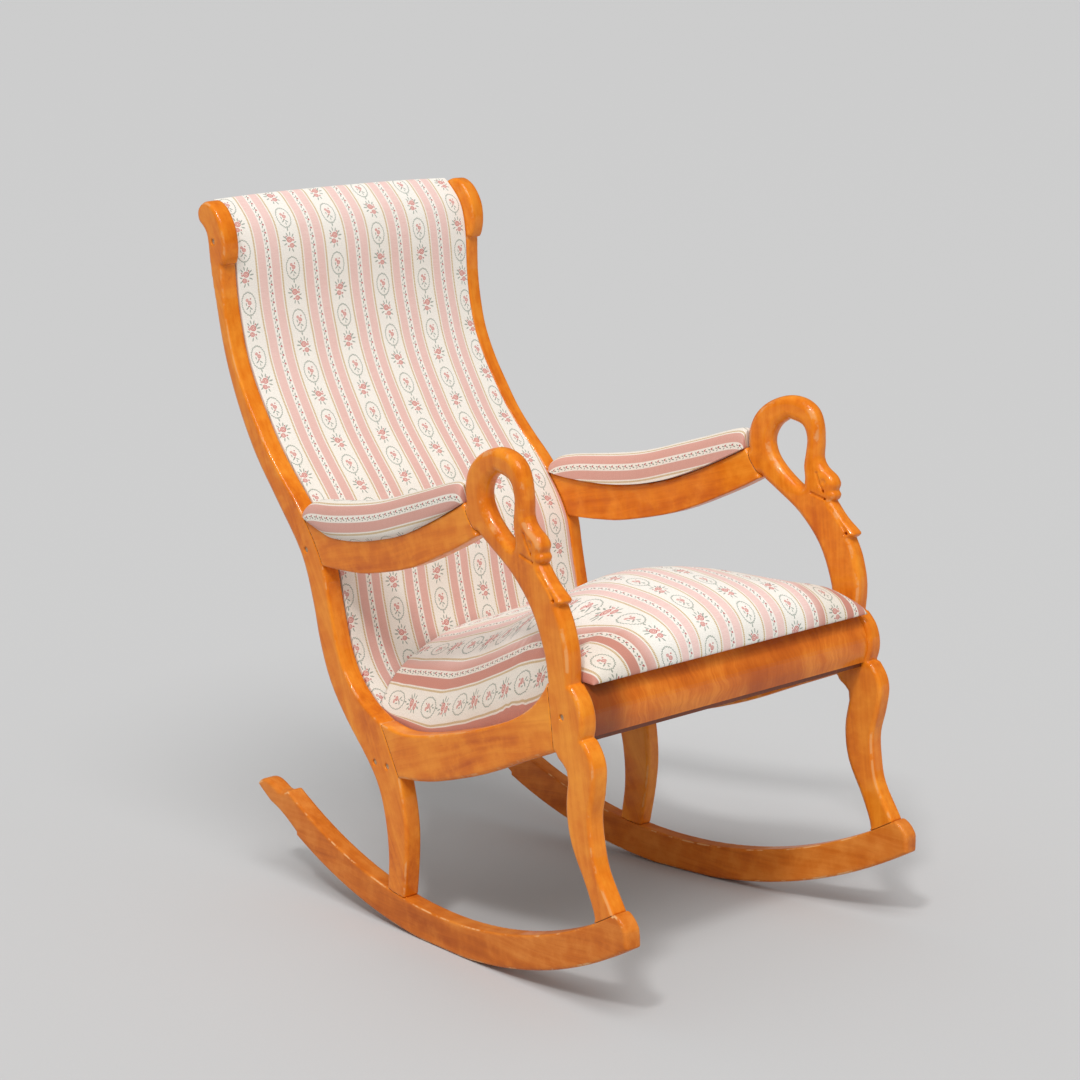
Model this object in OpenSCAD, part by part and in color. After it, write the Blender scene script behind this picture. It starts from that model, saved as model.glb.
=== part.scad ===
// Bow rocking chair with swan-neck arm supports and a sprung, striped seat.
// The front faces -Y, the sitter's left is +X, and the chair stands on Z = 0.

/* [Side frames] */
// Height of a side frame from the floor to the crown of its top scroll
frame_h = 1060; // [960:10:1160]
// Length of a side frame from the toe of the rocker to the back of the top scroll
frame_run = 960; // [880:10:1040]
// Thickness of the planks that the side frames are sawn from
frame_t = 29; // [25:0.5:33]
// Width between the outer faces of the two rockers where they touch the floor
track_w = 545; // [500:5:600]
// Angle by which each side frame turns in towards the back, in degrees
toe_in = 5; // [3:0.5:6]
// Angle by which each side frame leans outwards, in degrees
lean = 2.3; // [1:0.1:3]

/* [Rockers] */
// Radius of the running edge of a rocker
rocker_r = 811; // [780:1:860]
// Depth of a rocker between its running edge and its top edge
rocker_depth = 52; // [46:1:58]
// Depth that wear has taken off the running edge where the chair rests
wear_depth = 1.8; // [1.4:0.1:2.2]

/* [Front rail] */
// Thickness of the front rail's core, front to back
front_core_t = 40; // [30:1:44]
// Thickness of the figured veneer on the barrel front
veneer_t = 2.5; // [1:0.5:4]
// Height of the moulding under the front rail
strip_h = 7; // [4:1:10]
// Distance by which that moulding stands back from the veneer
strip_set = 4; // [2:1:6]

/* [Cross rails] */
// Height of the rear seat rail
rear_rail_h = 36; // [30:1:42]
// Width of the rear seat rail, front to back
rear_rail_w = 54; // [44:1:58]
// Thickness of the lumbar rail in the back
lumbar_t = 16; // [12:1:18]
// Width of the lumbar rail along the back
lumbar_w = 42; // [34:1:50]
// Thickness of the crest rail, whose top edge is fully rounded
crest_t = 15; // [14:1:17]
// Height of the crest rail from its lower edge to the centre of its round top
crest_drop = 46; // [40:1:54]

/* [Screws] */
// Diameter of a frame screw's shank
screw_d = 5; // [4:0.5:6]
// Diameter of a frame screw's head
screw_head_d = 9; // [8:0.5:11]
// Height of a frame screw's head
screw_head_h = 3; // [2:0.5:4]
// Depth of a head below the face of the plank
screw_sink = 2.5; // [1.5:0.5:4]
// Length of a screw beyond the plank, in the end of the rail
screw_bite = 26; // [18:1:34]

/* [Seat upholstery] */
// Thickness of the seat webbing
seat_web_t = 2; // [1.5:0.5:3]
// Width of a webbing strap
strap_w = 46; // [38:1:52]
// Height of the seat springs as they stand under the canvas
spring_h = 92; // [76:1:96]
// Radius of a spring's end turns
spring_r = 30; // [24:1:34]
// Radius of a spring's waist
spring_waist_r = 20; // [16:1:24]
// Diameter of the spring wire
spring_wire = 4; // [2.5:0.1:5]
// Spacing of the springs across the seat, as a share of the clear width
spring_across_share = 0.24; // [0.21:0.005:0.25]
// Spacing of the springs from front to back, as a share of the webbing's run
spring_along_share = 0.247; // [0.22:0.001:0.26]
// Thickness of the spring canvas
canvas_t = 2; // [1.5:0.5:3]
// Width of the spring canvas, as a share of the clear width
canvas_across_share = 0.672; // [0.63:0.002:0.69]
// Length of the spring canvas, as a share of the webbing's run
canvas_along_share = 0.716; // [0.67:0.002:0.74]
// Rise of the seat's crown above the top of the front rail
seat_crown = 86; // [76:1:98]
// How far the crown spreads sideways before it falls away
crown_spread = 1.7; // [1.4:0.1:3]
// Swell of the crown's sides at the front: the lower, the more upright they are
crown_swell_front = 0.33; // [0.25:0.01:0.5]
// Swell of the crown's sides where the seat meets the back
crown_swell_rear = 0.95; // [0.6:0.01:1.1]

/* [Back upholstery] */
// Thickness of the stuffing in the back at its sides
back_stuff_t = 13; // [11:0.5:14]
// Forward bulge of the back's stuffing in the middle
back_crown = 9; // [4:1:12]
// Thickness of the back webbing
back_web_t = 1.5; // [1:0.5:2]
// Thickness of the cloth over the rear of the back
cover_t = 2; // [1.5:0.5:3]
// Distance of that cloth in from the rear edges of the frames
cover_inset = 1.5; // [1:0.5:4]

/* [Arm pads] */
// Overhang of an arm pad past each side of its rail, in its middle
pad_over = 8.5; // [5:0.5:12]
// Overhang of an arm pad at its rear end
pad_rear_over = 1.5; // [1:0.5:4]
// Overhang of an arm pad at its front end
pad_front_over = 1.5; // [1:0.5:4]

/* [Fit] */
// Clearance between soft pieces and what they rest on
soft_gap = 0.3; // [0.3:0.1:0.6]

/* [Hidden] */

// Colours of the finished surfaces
birch = [0.80, 0.47, 0.17];
birch_dark = [0.66, 0.36, 0.12];
veneer_tone = [0.66, 0.33, 0.12];
plain_wood = [0.78, 0.62, 0.42];
cloth_rose = [0.90, 0.74, 0.69];
cloth_cream = [0.94, 0.90, 0.82];
jute = [0.62, 0.50, 0.33];
canvas_tone = [0.72, 0.62, 0.46];
steel = [0.55, 0.55, 0.56];

// Overrun of every cut past the material that it removes
overrun = 60;
// Half-length of the blocks that bound a cut
reach = frame_h + frame_run;
// Steps of a smooth outline between two of its points
outline_steps = 4;
// Facets of a full circle
round_fn = 96;
rocker_fn = 240;

// The side frame is drawn on squared paper: its squares go along the run
// and up the height, and each outline point counts those squares.
squares_along = 96;
squares_up = 106;
square_s = frame_run / squares_along;
square_h = frame_h / squares_up;
// Place of the rest point along the run, ahead of the drawing's origin
rest_s_share = -0.8;

// Rear stile: back edge from the foot up to the scroll
stile_back_shares = [[12.2, 2], [12, 7], [11.6, 11.5], [12, 16.5], [13.3, 21.3], [16, 25.3],
    [21.1, 30.5], [25, 35.7], [27.2, 41.5], [28.6, 47.8], [31, 54.5], [36.8, 61.8],
    [41.6, 67.7], [45.2, 73.8], [48, 80.3], [49.7, 86.5], [50.7, 93], [51.2, 99.6]];
// Rear stile: scroll at the top, from its back round to the step on the front
scroll_shares = [[51.2, 99.6], [51.5, 101.2], [52.3, 102.2], [53.4, 103.1], [53.6, 104.6],
    [52.6, 105.7], [51, 106.2], [49.2, 105.4], [47.8, 103.8], [46.9, 101.9], [46.6, 99.7],
    [46.8, 97.9], [47.2, 96.9]];
// Rear stile: front edge from the step down to the seat rail's joint
stile_front_shares = [[47.8, 96.7], [47.6, 91.5], [46.9, 87], [45.6, 82.2], [43.3, 77.5],
    [40.7, 73.5], [38, 69.7], [34.5, 65.9], [30.7, 62.2], [27.1, 57.7], [24.8, 53.5], [23.8, 49],
    [22.9, 45], [21.8, 41], [19.7, 37.1], [16.2, 34], [11.9, 32]];
// Rear stile: joint with the seat rail, then the front of the rear leg
rail_joint_shares = [[11.9, 32], [10.2, 28.8], [7.8, 24.2]];
rear_leg_shares = [[7.8, 24.2], [7, 20.5], [6.6, 16], [7, 11], [7.8, 6], [8.4, 2]];

// Seat rail: top edge and lower edge, from the rear stile to the front leg
rail_top_shares = [[13, 32.6], [11.9, 32], [6.8, 31.5], [1, 32.5], [-6, 34.5], [-13, 36.8],
    [-19.5, 39.5], [-24, 42.4], [-26.8, 45.5], [-28.4, 48.5]];
rail_low_shares = [[9, 23.9], [7.8, 24.2], [3, 24.9], [-2.3, 26.2], [-11.8, 29.4], [-21, 33.4],
    [-28.4, 36.6], [-31, 38]];

// Front leg: back edge from the foot up to the swan's breast
leg_foot_back_shares = [[-35.4, 10], [-35.9, 14], [-34.2, 18.4], [-31.3, 23.9], [-30.4, 28.8],
    [-30.9, 33]];
leg_back_shares = [[-30.7, 34.4], [-30, 35.1], [-28.6, 36.4], [-28.2, 40], [-27.5, 46.2],
    [-26.4, 51], [-24.1, 56], [-20.3, 60.2], [-16, 63.1], [-12.9, 65.1], [-10.8, 67.6],
    [-10.1, 70.4], [-10.5, 73], [-11.8, 75.1], [-14.1, 76.8], [-17.1, 77.8], [-20, 77.6],
    [-22.2, 76.3], [-23.3, 74], [-23.6, 71.2], [-23.6, 69], [-24.4, 67.7], [-26, 66.6],
    [-26.7, 65.4], [-26.4, 64.4]];
// Front leg: roll behind the bill, the bill, and the face of the post under it
collar_shares = [[-26.4, 64.4], [-26.8, 63.8], [-26.6, 63.1], [-26.2, 62.8]];
bill_shares = [[-26.2, 62.8], [-28.2, 60.5], [-30.4, 58.7], [-30.5, 58.1], [-29.8, 57.6]];
post_front_shares = [[-29.8, 57.6], [-31, 55.2], [-31.9, 52], [-32.1, 49.5], [-31.9, 46.9]];
// Front leg: block beside the rail, then the leg down to the rocker
block_shares = [[-32.4, 46.8], [-33.8, 45.2], [-34.6, 43.2], [-34.7, 41.2], [-34.3, 39.6]];
leg_front_shares = [[-34.9, 39.4], [-36.2, 37.6], [-36.8, 35.4], [-36.4, 32], [-35.7, 28.6],
    [-36, 25], [-37, 21], [-39.9, 16.2], [-41.5, 13], [-42, 10]];
// Eye of the swan's neck
eye_shares = [[-17.4, 74.3], [-15.6, 73], [-14.6, 71], [-15, 69], [-16.4, 67.2], [-18.6, 65.4],
    [-20.6, 64.3], [-20.9, 65.6], [-20.6, 67.6], [-20.8, 69.6], [-20.9, 71.8], [-20, 73.6]];

// Arm rail: top edge under the pad and lower edge
arm_top_shares = [[32, 61.6], [28.1, 60.3], [22.4, 59.9], [16.2, 60], [10.2, 60.8],
    [4.2, 62.4], [-1.6, 64.8], [-5.4, 66.6], [-9.1, 68.5], [-13, 70.6]];
arm_low_shares = [[27, 53.8], [24.1, 53.7], [18, 54], [12.7, 54.7], [2.8, 57.3], [-6.8, 61.5],
    [-12.9, 64.7], [-15, 66]];
// Arm pad: crown along its middle, rear end to front end
pad_crown_shares = [[29, 61.6], [28.6, 62.3], [26.8, 63.4], [22.8, 64.1], [17, 64.9], [10, 66.2],
    [4, 68.1], [-1.8, 69.9], [-6.7, 71.5], [-9.2, 72], [-9.9, 71.5]];
// Arm pad: depth by which its outer side hangs past the rail's top edge
pad_drape_shares = [[29, 0.1], [27, 0.5], [22.5, 1.5], [16.2, 1.1], [10, 0.6], [4, 0.5],
    [-1.6, 0.3], [-6, 0.2], [-9.9, 0.1]];

// Front rail: barrel front at the veneer's face, top to bottom
barrel_shares = [[-31.8, 46.7], [-33, 45.2], [-33.9, 43.2], [-34, 41.2], [-33.6, 39.4]];

// Centres of the screws, which are those of the cross rails' ends
crest_screw_share = [49.7, 100.2];
lumbar_screw_share = [29, 55.5];
rear_screw_shares = [[13.8, 25.5], [10.8, 25.5]];
front_screw_share = [-30.4, 42.1];
crest_centre_share = [49.7, 101];
rear_rail_centre_share = [12.3, 25.5];

// Rocker: ends that trim the ring, toe first and tail last
toe_shares = [[-42.8, 6], [-42.8, 13], [-42.4, 14.6], [-41.2, 15.8], [-39.8, 16.3]];
tail_top_shares = [[37.5, 15.3], [38.4, 14.9], [39.8, 14.8], [41.4, 15.5], [43, 15.9],
    [44.6, 15.6], [45.8, 14.8], [46.2, 13.9]];
tail_low_shares = [[46.2, 13.9], [45.8, 13.2], [43.8, 12.7], [41.2, 11.9], [38.5, 10.7],
    [35.6, 9]];

// Seat: line over its crown from the front rail to the back, as shares of
// the run along and of the crown's rise above the front rail
seat_line_shares = [[-34.1, 0.02], [-33.8, 0.32], [-32.7, 0.53], [-30.4, 0.72], [-26.6, 0.89],
    [-21, 0.985], [-15.5, 1], [-9, 0.81], [0, 0.27], [8, -0.046], [14.5, -0.342], [21.5, -0.627]];
// Seat: level of its edges beside the rails, from front to back
seat_side_shares = [[-34.1, 46.8], [-28.6, 46.8], [-26.4, 43.4], [-20, 38.8], [-12, 35.8], [-4, 33],
    [4, 31.2], [14.5, 32.2], [21.5, 34]];
// Seat: webbing from the front rail to the rear seat rail
web_front_share = [-28.5, 39.9];
web_rear_share = [9.5, 25.9];

function on_square(q) = [q[0] * square_s, q[1] * square_h];
function on_squares(list) = [for (q = list) on_square(q)];

// Smooth curve through all the points of a list
function curve_point(a, b, c, d, t) = 0.5 * (2 * b + (c - a) * t
    + (2 * a - 5 * b + 4 * c - d) * t * t + (3 * b - a - 3 * c + d) * t * t * t);
function smooth(list, steps = outline_steps) = let (last = len(list) - 1) concat(
    [for (i = [0 : last - 1]) for (j = [0 : steps - 1])
        curve_point(list[max(i - 1, 0)], list[i], list[i + 1], list[min(i + 2, last)], j / steps)],
    [list[last]]);
function smooth_squares(list, steps = outline_steps) = smooth(on_squares(list), steps);
function reversed(list) = [for (i = [len(list) - 1 : -1 : 0]) list[i]];
function final(list) = list[len(list) - 1];
function unit(v) = v / norm(v);
// A path moved sideways to its right, seen along its direction
function beside(path, gap) = let (last = len(path) - 1) [for (i = [0 : last])
    let (d = unit(path[min(i + 1, last)] - path[max(i - 1, 0)])) path[i] + gap * [d[1], -d[0]]];
function widest(list, axis) = max([for (q = list) q[axis]]);
function least(list, axis) = min([for (q = list) q[axis]]);

// A point of the right-hand frame in the chair's own directions, before the
// origin moves to the middle of the footprint
function frame_y(q, depth) = q[0] * cos(toe_in) + (q[1] * sin(lean) - depth * cos(lean)) * sin(toe_in);
function frame_z(q, depth) = q[1] * cos(lean) + depth * sin(lean);
function inner_yz(q) = [frame_y(q, frame_t), frame_z(q, frame_t)];
// Half the clear width between the inner faces at a place of the mid-plane
function half_clear(y, z) = track_w / 2 - y * tan(toe_in) + z * tan(lean) / cos(toe_in)
    - frame_t / (cos(lean) * cos(toe_in));

rest_s = rest_s_share * square_s;
rocker_centre = [rest_s, rocker_r - wear_depth];
rocker_top_r = rocker_r - rocker_depth;
// Height at which the shape that trims a rocker's ring stays clear of its top
trim_h = frame_h / 2;

stile_back = smooth_squares(stile_back_shares);
scroll = smooth_squares(scroll_shares);
stile_front = smooth_squares(stile_front_shares);
barrel = smooth_squares(barrel_shares);
origin_y = (frame_y([widest(scroll, 0), frame_h], 0)
    + frame_y([least(on_squares(toe_shares), 0), 0], frame_t)) / 2;

crest_centre = on_square(crest_centre_share);
crest_r = crest_t / 2;

module centred() {
    translate([0, -origin_y, 0]) children();
}

module on_frame(side) {
    centred()
        mirror([side > 0 ? 1 : 0, 0, 0])
            translate([-track_w / 2, 0, 0])
                rotate([0, -lean, -toe_in])
                    children();
}

// A flat shape of the side frame, given the plank's thickness
module plank(t = frame_t) {
    rotate([90, 0, 90])
        linear_extrude(height = t)
            children();
}

// A flat shape that runs across the whole chair
module across() {
    translate([-reach / 2, 0, 0])
        plank(reach)
            children();
}

// Keeps what lies between the inner faces of the two frames
module between_frames(gap = 0) {
    intersection() {
        children();
        for (side = [-1, 1])
            intersection() {
                on_frame(-1)
                    translate([frame_t + gap, -reach, -reach])
                        cube([reach, 2 * reach, 2 * reach]);
                on_frame(1)
                    translate([frame_t + gap, -reach, -reach])
                        cube([reach, 2 * reach, 2 * reach]);
            }
    }
}

module rocker_top_disc() {
    translate(rocker_centre)
        circle(r = rocker_top_r, $fn = rocker_fn);
}

module rocker_outline() {
    toe = smooth_squares(toe_shares);
    tail = concat(smooth_squares(tail_top_shares), smooth_squares(tail_low_shares));
    trim = concat([[toe[0][0], -overrun]], toe, [[final(toe)[0], trim_h], [tail[0][0], trim_h]],
        tail, [[final(tail)[0], -overrun]]);
    intersection() {
        difference() {
            translate(rocker_centre)
                circle(r = rocker_r, $fn = rocker_fn);
            rocker_top_disc();
        }
        polygon(trim);
    }
}

module rocker(side) {
    color(birch_dark)
        intersection() {
            on_frame(side)
                plank()
                    rocker_outline();
            translate([-reach, -reach, 0])
                cube([2 * reach, 2 * reach, reach]);
        }
}

module stile_outline() {
    intersection() {
        polygon(concat(stile_back, scroll, stile_front,
            smooth_squares(rail_joint_shares), smooth_squares(rear_leg_shares)));
        rocker_top_disc();
    }
}

module front_leg_outline() {
    intersection() {
        difference() {
            polygon(concat(smooth_squares(leg_foot_back_shares), smooth_squares(leg_back_shares),
                smooth_squares(collar_shares), smooth_squares(bill_shares),
                smooth_squares(post_front_shares), smooth_squares(block_shares),
                smooth_squares(leg_front_shares)));
            polygon(smooth_squares(concat(eye_shares, [eye_shares[0]])));
        }
        rocker_top_disc();
    }
}

// Start of a screw's shank, inside its head
shank_start = screw_sink + screw_head_h / 2;

// Bore for a frame screw, through the plank and into the rail behind it
module screw_bore(place) {
    translate([0, place[0], place[1]])
        rotate([0, 90, 0]) {
            translate([0, 0, -overrun])
                cylinder(d = screw_head_d, h = overrun + screw_sink + screw_head_h, $fn = round_fn);
            cylinder(d = screw_d, h = frame_t + screw_bite, $fn = round_fn);
        }
}

module screw(place) {
    translate([0, place[0], place[1]])
        rotate([0, 90, 0]) {
            translate([0, 0, screw_sink])
                cylinder(d = screw_head_d, h = screw_head_h, $fn = round_fn);
            translate([0, 0, shank_start])
                cylinder(d = screw_d, h = frame_t + screw_bite - shank_start, $fn = round_fn);
        }
}

screw_places = concat(
    [on_square(crest_screw_share), on_square(lumbar_screw_share), on_square(front_screw_share)],
    on_squares(rear_screw_shares));

module frame_bores(side) {
    on_frame(side)
        for (place = screw_places)
            screw_bore(place);
}

module frame_screws(side) {
    color(steel)
        on_frame(side)
            for (place = screw_places)
                screw(place);
}

module rear_stile(side) {
    color(birch)
        difference() {
            on_frame(side)
                plank()
                    stile_outline();
            frame_bores(side);
        }
}

module front_leg(side) {
    color(birch)
        difference() {
            on_frame(side)
                plank()
                    front_leg_outline();
            frame_bores(side);
        }
}

module side_rail(side) {
    color(birch)
        on_frame(side)
            plank()
                difference() {
                    polygon(concat(smooth_squares(rail_top_shares),
                        reversed(smooth_squares(rail_low_shares))));
                    stile_outline();
                    front_leg_outline();
                }
}

module arm_rail(side) {
    color(birch)
        on_frame(side)
            plank()
                difference() {
                    polygon(concat(smooth_squares(arm_top_shares),
                        reversed(smooth_squares(arm_low_shares))));
                    stile_outline();
                    front_leg_outline();
                }
}

// Rear face of the front rail, along the run
core_back_s = barrel[0][0] + veneer_t + front_core_t;

module core_outline() {
    polygon([for (q = concat([for (b = barrel) [b[0] + veneer_t, b[1]]],
        [[core_back_s, final(barrel)[1]], [core_back_s, barrel[0][1]]])) inner_yz(q)]);
}

module front_rail_core() {
    color(plain_wood)
        difference() {
            between_frames()
                centred()
                    across()
                        core_outline();
            frame_bores(-1);
            frame_bores(1);
        }
}

module front_rail_veneer() {
    outer = [for (q = barrel) inner_yz(q)];
    inner = [for (q = barrel) inner_yz([q[0] + veneer_t, q[1]])];
    color(veneer_tone)
        between_frames()
            centred()
                across()
                    polygon(concat(outer, reversed(inner)));
}

module front_rail_moulding() {
    foot = final(barrel);
    front_s = foot[0] + strip_set;
    color(birch_dark)
        between_frames()
            centred()
                across()
                    polygon([inner_yz([front_s, foot[1]]), inner_yz([front_s, foot[1] - strip_h]),
                        inner_yz([core_back_s, foot[1] - strip_h]),
                        inner_yz([core_back_s, foot[1]])]);
}

module rear_rail_outline() {
    translate(inner_yz(on_square(rear_rail_centre_share)))
        square([rear_rail_w, rear_rail_h], center = true);
}

module rear_seat_rail() {
    color(plain_wood)
        difference() {
            between_frames()
                centred()
                    across()
                        rear_rail_outline();
            frame_bores(-1);
            frame_bores(1);
        }
}

// Slope of the back beside the lumbar rail, taken from the front edge of a stile
lumbar_low = on_square(stile_front_shares[10]);
lumbar_high = on_square(stile_front_shares[9]);
lumbar_slope = atan2(lumbar_high[1] - lumbar_low[1], lumbar_high[0] - lumbar_low[0]);

module lumbar_rail() {
    color(plain_wood)
        difference() {
            between_frames()
                centred()
                    across()
                        translate(inner_yz(on_square(lumbar_screw_share)))
                            rotate(lumbar_slope)
                                square([lumbar_w, lumbar_t], center = true);
            frame_bores(-1);
            frame_bores(1);
        }
}

module crest_outline() {
    translate(inner_yz(crest_centre)) {
        circle(r = crest_r, $fn = round_fn);
        translate([-crest_r, -crest_drop])
            square([crest_t, crest_drop]);
    }
}

module crest_rail() {
    color(plain_wood)
        difference() {
            between_frames()
                centred()
                    across()
                        crest_outline();
            frame_bores(-1);
            frame_bores(1);
        }
}

// Seat: sloping plane of the webbing
web_front = inner_yz(on_square(web_front_share));
web_rear = inner_yz(on_square(web_rear_share));
web_run = norm(web_rear - web_front);
seat_pitch = atan2(web_front[1] - web_rear[1], web_rear[0] - web_front[0]);

module on_webbing() {
    centred()
        translate([0, web_front[0], web_front[1]])
            rotate([-seat_pitch, 0, 0])
                children();
}

// Straps of the seat's webbing each way, and the spacing of those that run
// front to back, in strap widths
straps = 4;
strap_pitch_share = 2;
strap_pitch = strap_pitch_share * strap_w;

module seat_webbing() {
    color(jute)
        difference() {
            between_frames()
                on_webbing() {
                    for (i = [0 : straps - 1])
                        translate([-reach / 2, web_run * (i + 0.5) / straps - strap_w / 2, 0])
                            cube([reach, strap_w, seat_web_t]);
                    for (i = [0 : straps - 1])
                        translate([(i - (straps - 1) / 2) * strap_pitch - strap_w / 2, 0, 0])
                            cube([strap_w, web_run + rear_rail_w / 2, seat_web_t]);
                }
            centred()
                across() {
                    core_outline();
                    rear_rail_outline();
                }
        }
}

// Clear width between the frames at the rear of the webbing
clear_w = 2 * half_clear(web_rear[0], web_rear[1]);

// Springs: coils that narrow at the waist, three rows of three
spring_turns = 4;
spring_steps = 8;
spring_rings = spring_turns * spring_steps;
spring_sides = 6;
springs_across = 3;
springs_along = 3;
function spring_radius(f) = spring_waist_r + (spring_r - spring_waist_r) * pow(abs(2 * f - 1), 2);
function spring_point(i) = let (f = i / spring_rings, a = 360 * spring_turns * f)
    [spring_radius(f) * cos(a), spring_radius(f) * sin(a),
        spring_wire / 2 + (spring_h - spring_wire) * f];
function spring_ring(i) = let (p = spring_point(i),
        d = unit(spring_point(min(i + 1, spring_rings)) - spring_point(max(i - 1, 0))),
        a = unit(cross(d, [0, 0, 1])), b = cross(a, d))
    [for (k = [0 : spring_sides - 1]) let (w = 360 * k / spring_sides)
        p + spring_wire / 2 * (a * cos(w) + b * sin(w))];

module one_spring() {
    polyhedron(
        points = [for (i = [0 : spring_rings]) for (q = spring_ring(i)) q],
        faces = concat(
            [[for (k = [spring_sides - 1 : -1 : 0]) k]],
            [for (i = [0 : spring_rings - 1]) for (k = [0 : spring_sides - 1])
                let (a = i * spring_sides + k, b = i * spring_sides + (k + 1) % spring_sides)
                    [a, b, a + spring_sides]],
            [for (i = [0 : spring_rings - 1]) for (k = [0 : spring_sides - 1])
                let (a = i * spring_sides + k, b = i * spring_sides + (k + 1) % spring_sides)
                    [b, b + spring_sides, a + spring_sides]],
            [[for (k = [0 : spring_sides - 1]) spring_rings * spring_sides + k]]));
}

module seat_springs() {
    color(steel)
        on_webbing()
            for (i = [0 : springs_across - 1], j = [0 : springs_along - 1])
                translate([(i - (springs_across - 1) / 2) * spring_across_share * clear_w,
                        web_run / 2 + (j - (springs_along - 1) / 2) * spring_along_share * web_run,
                        seat_web_t])
                    one_spring();
}

canvas_w = canvas_across_share * clear_w;
canvas_run = canvas_along_share * web_run;

module spring_canvas() {
    color(canvas_tone)
        on_webbing()
            translate([-canvas_w / 2, (web_run - canvas_run) / 2, seat_web_t + spring_h])
                cube([canvas_w, canvas_run, canvas_t]);
}

// Back: outside of the stuffing from the rear seat rail up the stiles' fronts,
// then round the top roll to its end behind the crest rail
back_foot_shares = [[11.4, 28], [13.6, 30.8], [16.4, 34]];
roll_shares = [[47.9, 96.2], [48.25, 99], [48.85, 101.3], [49.65, 102.9], [50.9, 104.35], [53, 106.3],
    [53.55, 105.8], [53.5, 104.4], [52.8, 102.6], [51.2, 100.4]];
function back_path() = let (stile = reversed(on_squares(stile_front_shares)))
    smooth(concat(on_squares(back_foot_shares), [for (i = [2 : len(stile) - 2]) stile[i]],
        on_squares(roll_shares)), 2);
back_outer = [for (q = back_path()) inner_yz(q)];
function arc(centre, r, from, to, steps) = [for (i = [0 : steps])
    let (a = from + (to - from) * i / steps) centre + r * [cos(a), sin(a)]];
roll_steps = 5;
roll_centre = inner_yz(crest_centre);
crest_clear_r = crest_r / cos(90 / roll_steps) + soft_gap;
crest_low_z = roll_centre[1] - crest_drop;
back_rear = [for (q = beside(back_outer, back_stuff_t)) if (q[1] < crest_low_z) q];
back_inner = concat(back_rear, [[roll_centre[0] - crest_clear_r, crest_low_z]],
    arc(roll_centre, crest_clear_r, 180, 0, roll_steps),
    [[roll_centre[0] + crest_clear_r, back_outer[len(back_outer) - 1][1]]]);
back_section = concat(back_outer, reversed(back_inner));

// Share of the crown that a point of the section takes: full on its face, none behind
crown_rise_steps = 8;
crown_fall_steps = 16;
function crown_share(i) = min(1, i / crown_rise_steps)
    * min(1, (len(back_outer) - 1 - i) / crown_fall_steps);
// Bulge from side to side: full in the middle, none at the sides
bulge_power = 2.4;
function bulge(u) = 1 - pow(abs(u), bulge_power);
function face_normal(i) = let (last = len(back_outer) - 1,
        d = unit(back_outer[min(i + 1, last)] - back_outer[max(i - 1, 0)])) [-d[1], d[0]];
function crowned(i, u) = i < len(back_outer)
    ? back_section[i] + face_normal(i) * back_crown * crown_share(i) * bulge(u)
    : back_section[i];
back_stations = 12;
function station(i, count) = sin(90 * (2 * i / count - 1));
// A point of a section, moved out to a share of the half width
function out_at(u, q) = [u * (half_clear(q[0], q[1]) - soft_gap), q[0], q[1]];

// Triangles between a stretch of the section's outer points and one of its inner points
function inner_index(j) = len(back_section) - 1 - j;
function stitch(a, a_end, b, b_end) = [for (i = [a : a_end - 1])
    let (now = b + round((i - a) * (b_end - b) / (a_end - a)),
        next = b + round((i + 1 - a) * (b_end - b) / (a_end - a)))
        each concat([[i, i + 1, inner_index(now)]],
            [for (j = [now : 1 : next - 1]) [i + 1, inner_index(j + 1), inner_index(j)]])];
back_knee = len([for (q = back_outer) if (q[1] < crest_low_z) q]);
roll_start = back_knee + len([for (q = back_outer)
    if (q[1] >= crest_low_z && q[1] < roll_centre[1] && q[0] < roll_centre[0]) q]);
back_cap = concat(stitch(0, back_knee, 0, len(back_rear)),
    stitch(back_knee, roll_start, len(back_rear), len(back_rear) + 1),
    stitch(roll_start, len(back_outer) - 1, len(back_rear) + 1, len(back_inner) - 1));

module back_cushion() {
    sides = len(back_section);
    points = [for (i = [0 : back_stations]) for (k = [0 : sides - 1])
        let (u = station(i, back_stations)) out_at(u, crowned(k, u))];
    faces = concat(
        [for (f = back_cap) reversed(f)],
        [for (i = [0 : back_stations - 1]) for (k = [0 : sides - 1])
            let (a = i * sides + k, b = i * sides + (k + 1) % sides)
                [a, b, a + sides]],
        [for (i = [0 : back_stations - 1]) for (k = [0 : sides - 1])
            let (a = i * sides + k, b = i * sides + (k + 1) % sides)
                [b, b + sides, a + sides]],
        [for (f = back_cap) [for (k = f) back_stations * sides + k]]);
    color(cloth_rose)
        centred()
            polyhedron(points = points, faces = faces);
}

// A strip that follows the rear of the stuffing between two shares of its length
module back_strip(from, to) {
    path = [for (q = beside(back_outer, back_stuff_t + soft_gap)) if (q[1] < crest_low_z) q];
    first = round(from * (len(path) - 1));
    last = round(to * (len(path) - 1));
    part = [for (i = [first : last]) path[i]];
    polygon(concat(part, reversed(beside(part, back_web_t))));
}

back_straps_up = 3;
back_straps_across = 5;
// Spacing of the upright straps in strap widths, and the part of its bay that
// a strap across the back fills
back_strap_pitch_share = 2.4;
back_strap_pitch = back_strap_pitch_share * strap_w;
back_strap_low_share = 0.4;
back_strap_high_share = 0.75;

module back_webbing() {
    color(jute) {
        for (i = [0 : back_straps_up - 1])
            centred()
                translate([(i - (back_straps_up - 1) / 2) * back_strap_pitch - strap_w / 2, 0, 0])
                    plank(strap_w)
                        back_strip(0, 1);
        for (i = [0 : back_straps_across - 1])
            between_frames()
                centred()
                    across()
                        back_strip((i + back_strap_low_share) / back_straps_across,
                            (i + back_strap_high_share) / back_straps_across);
    }
}

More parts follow.
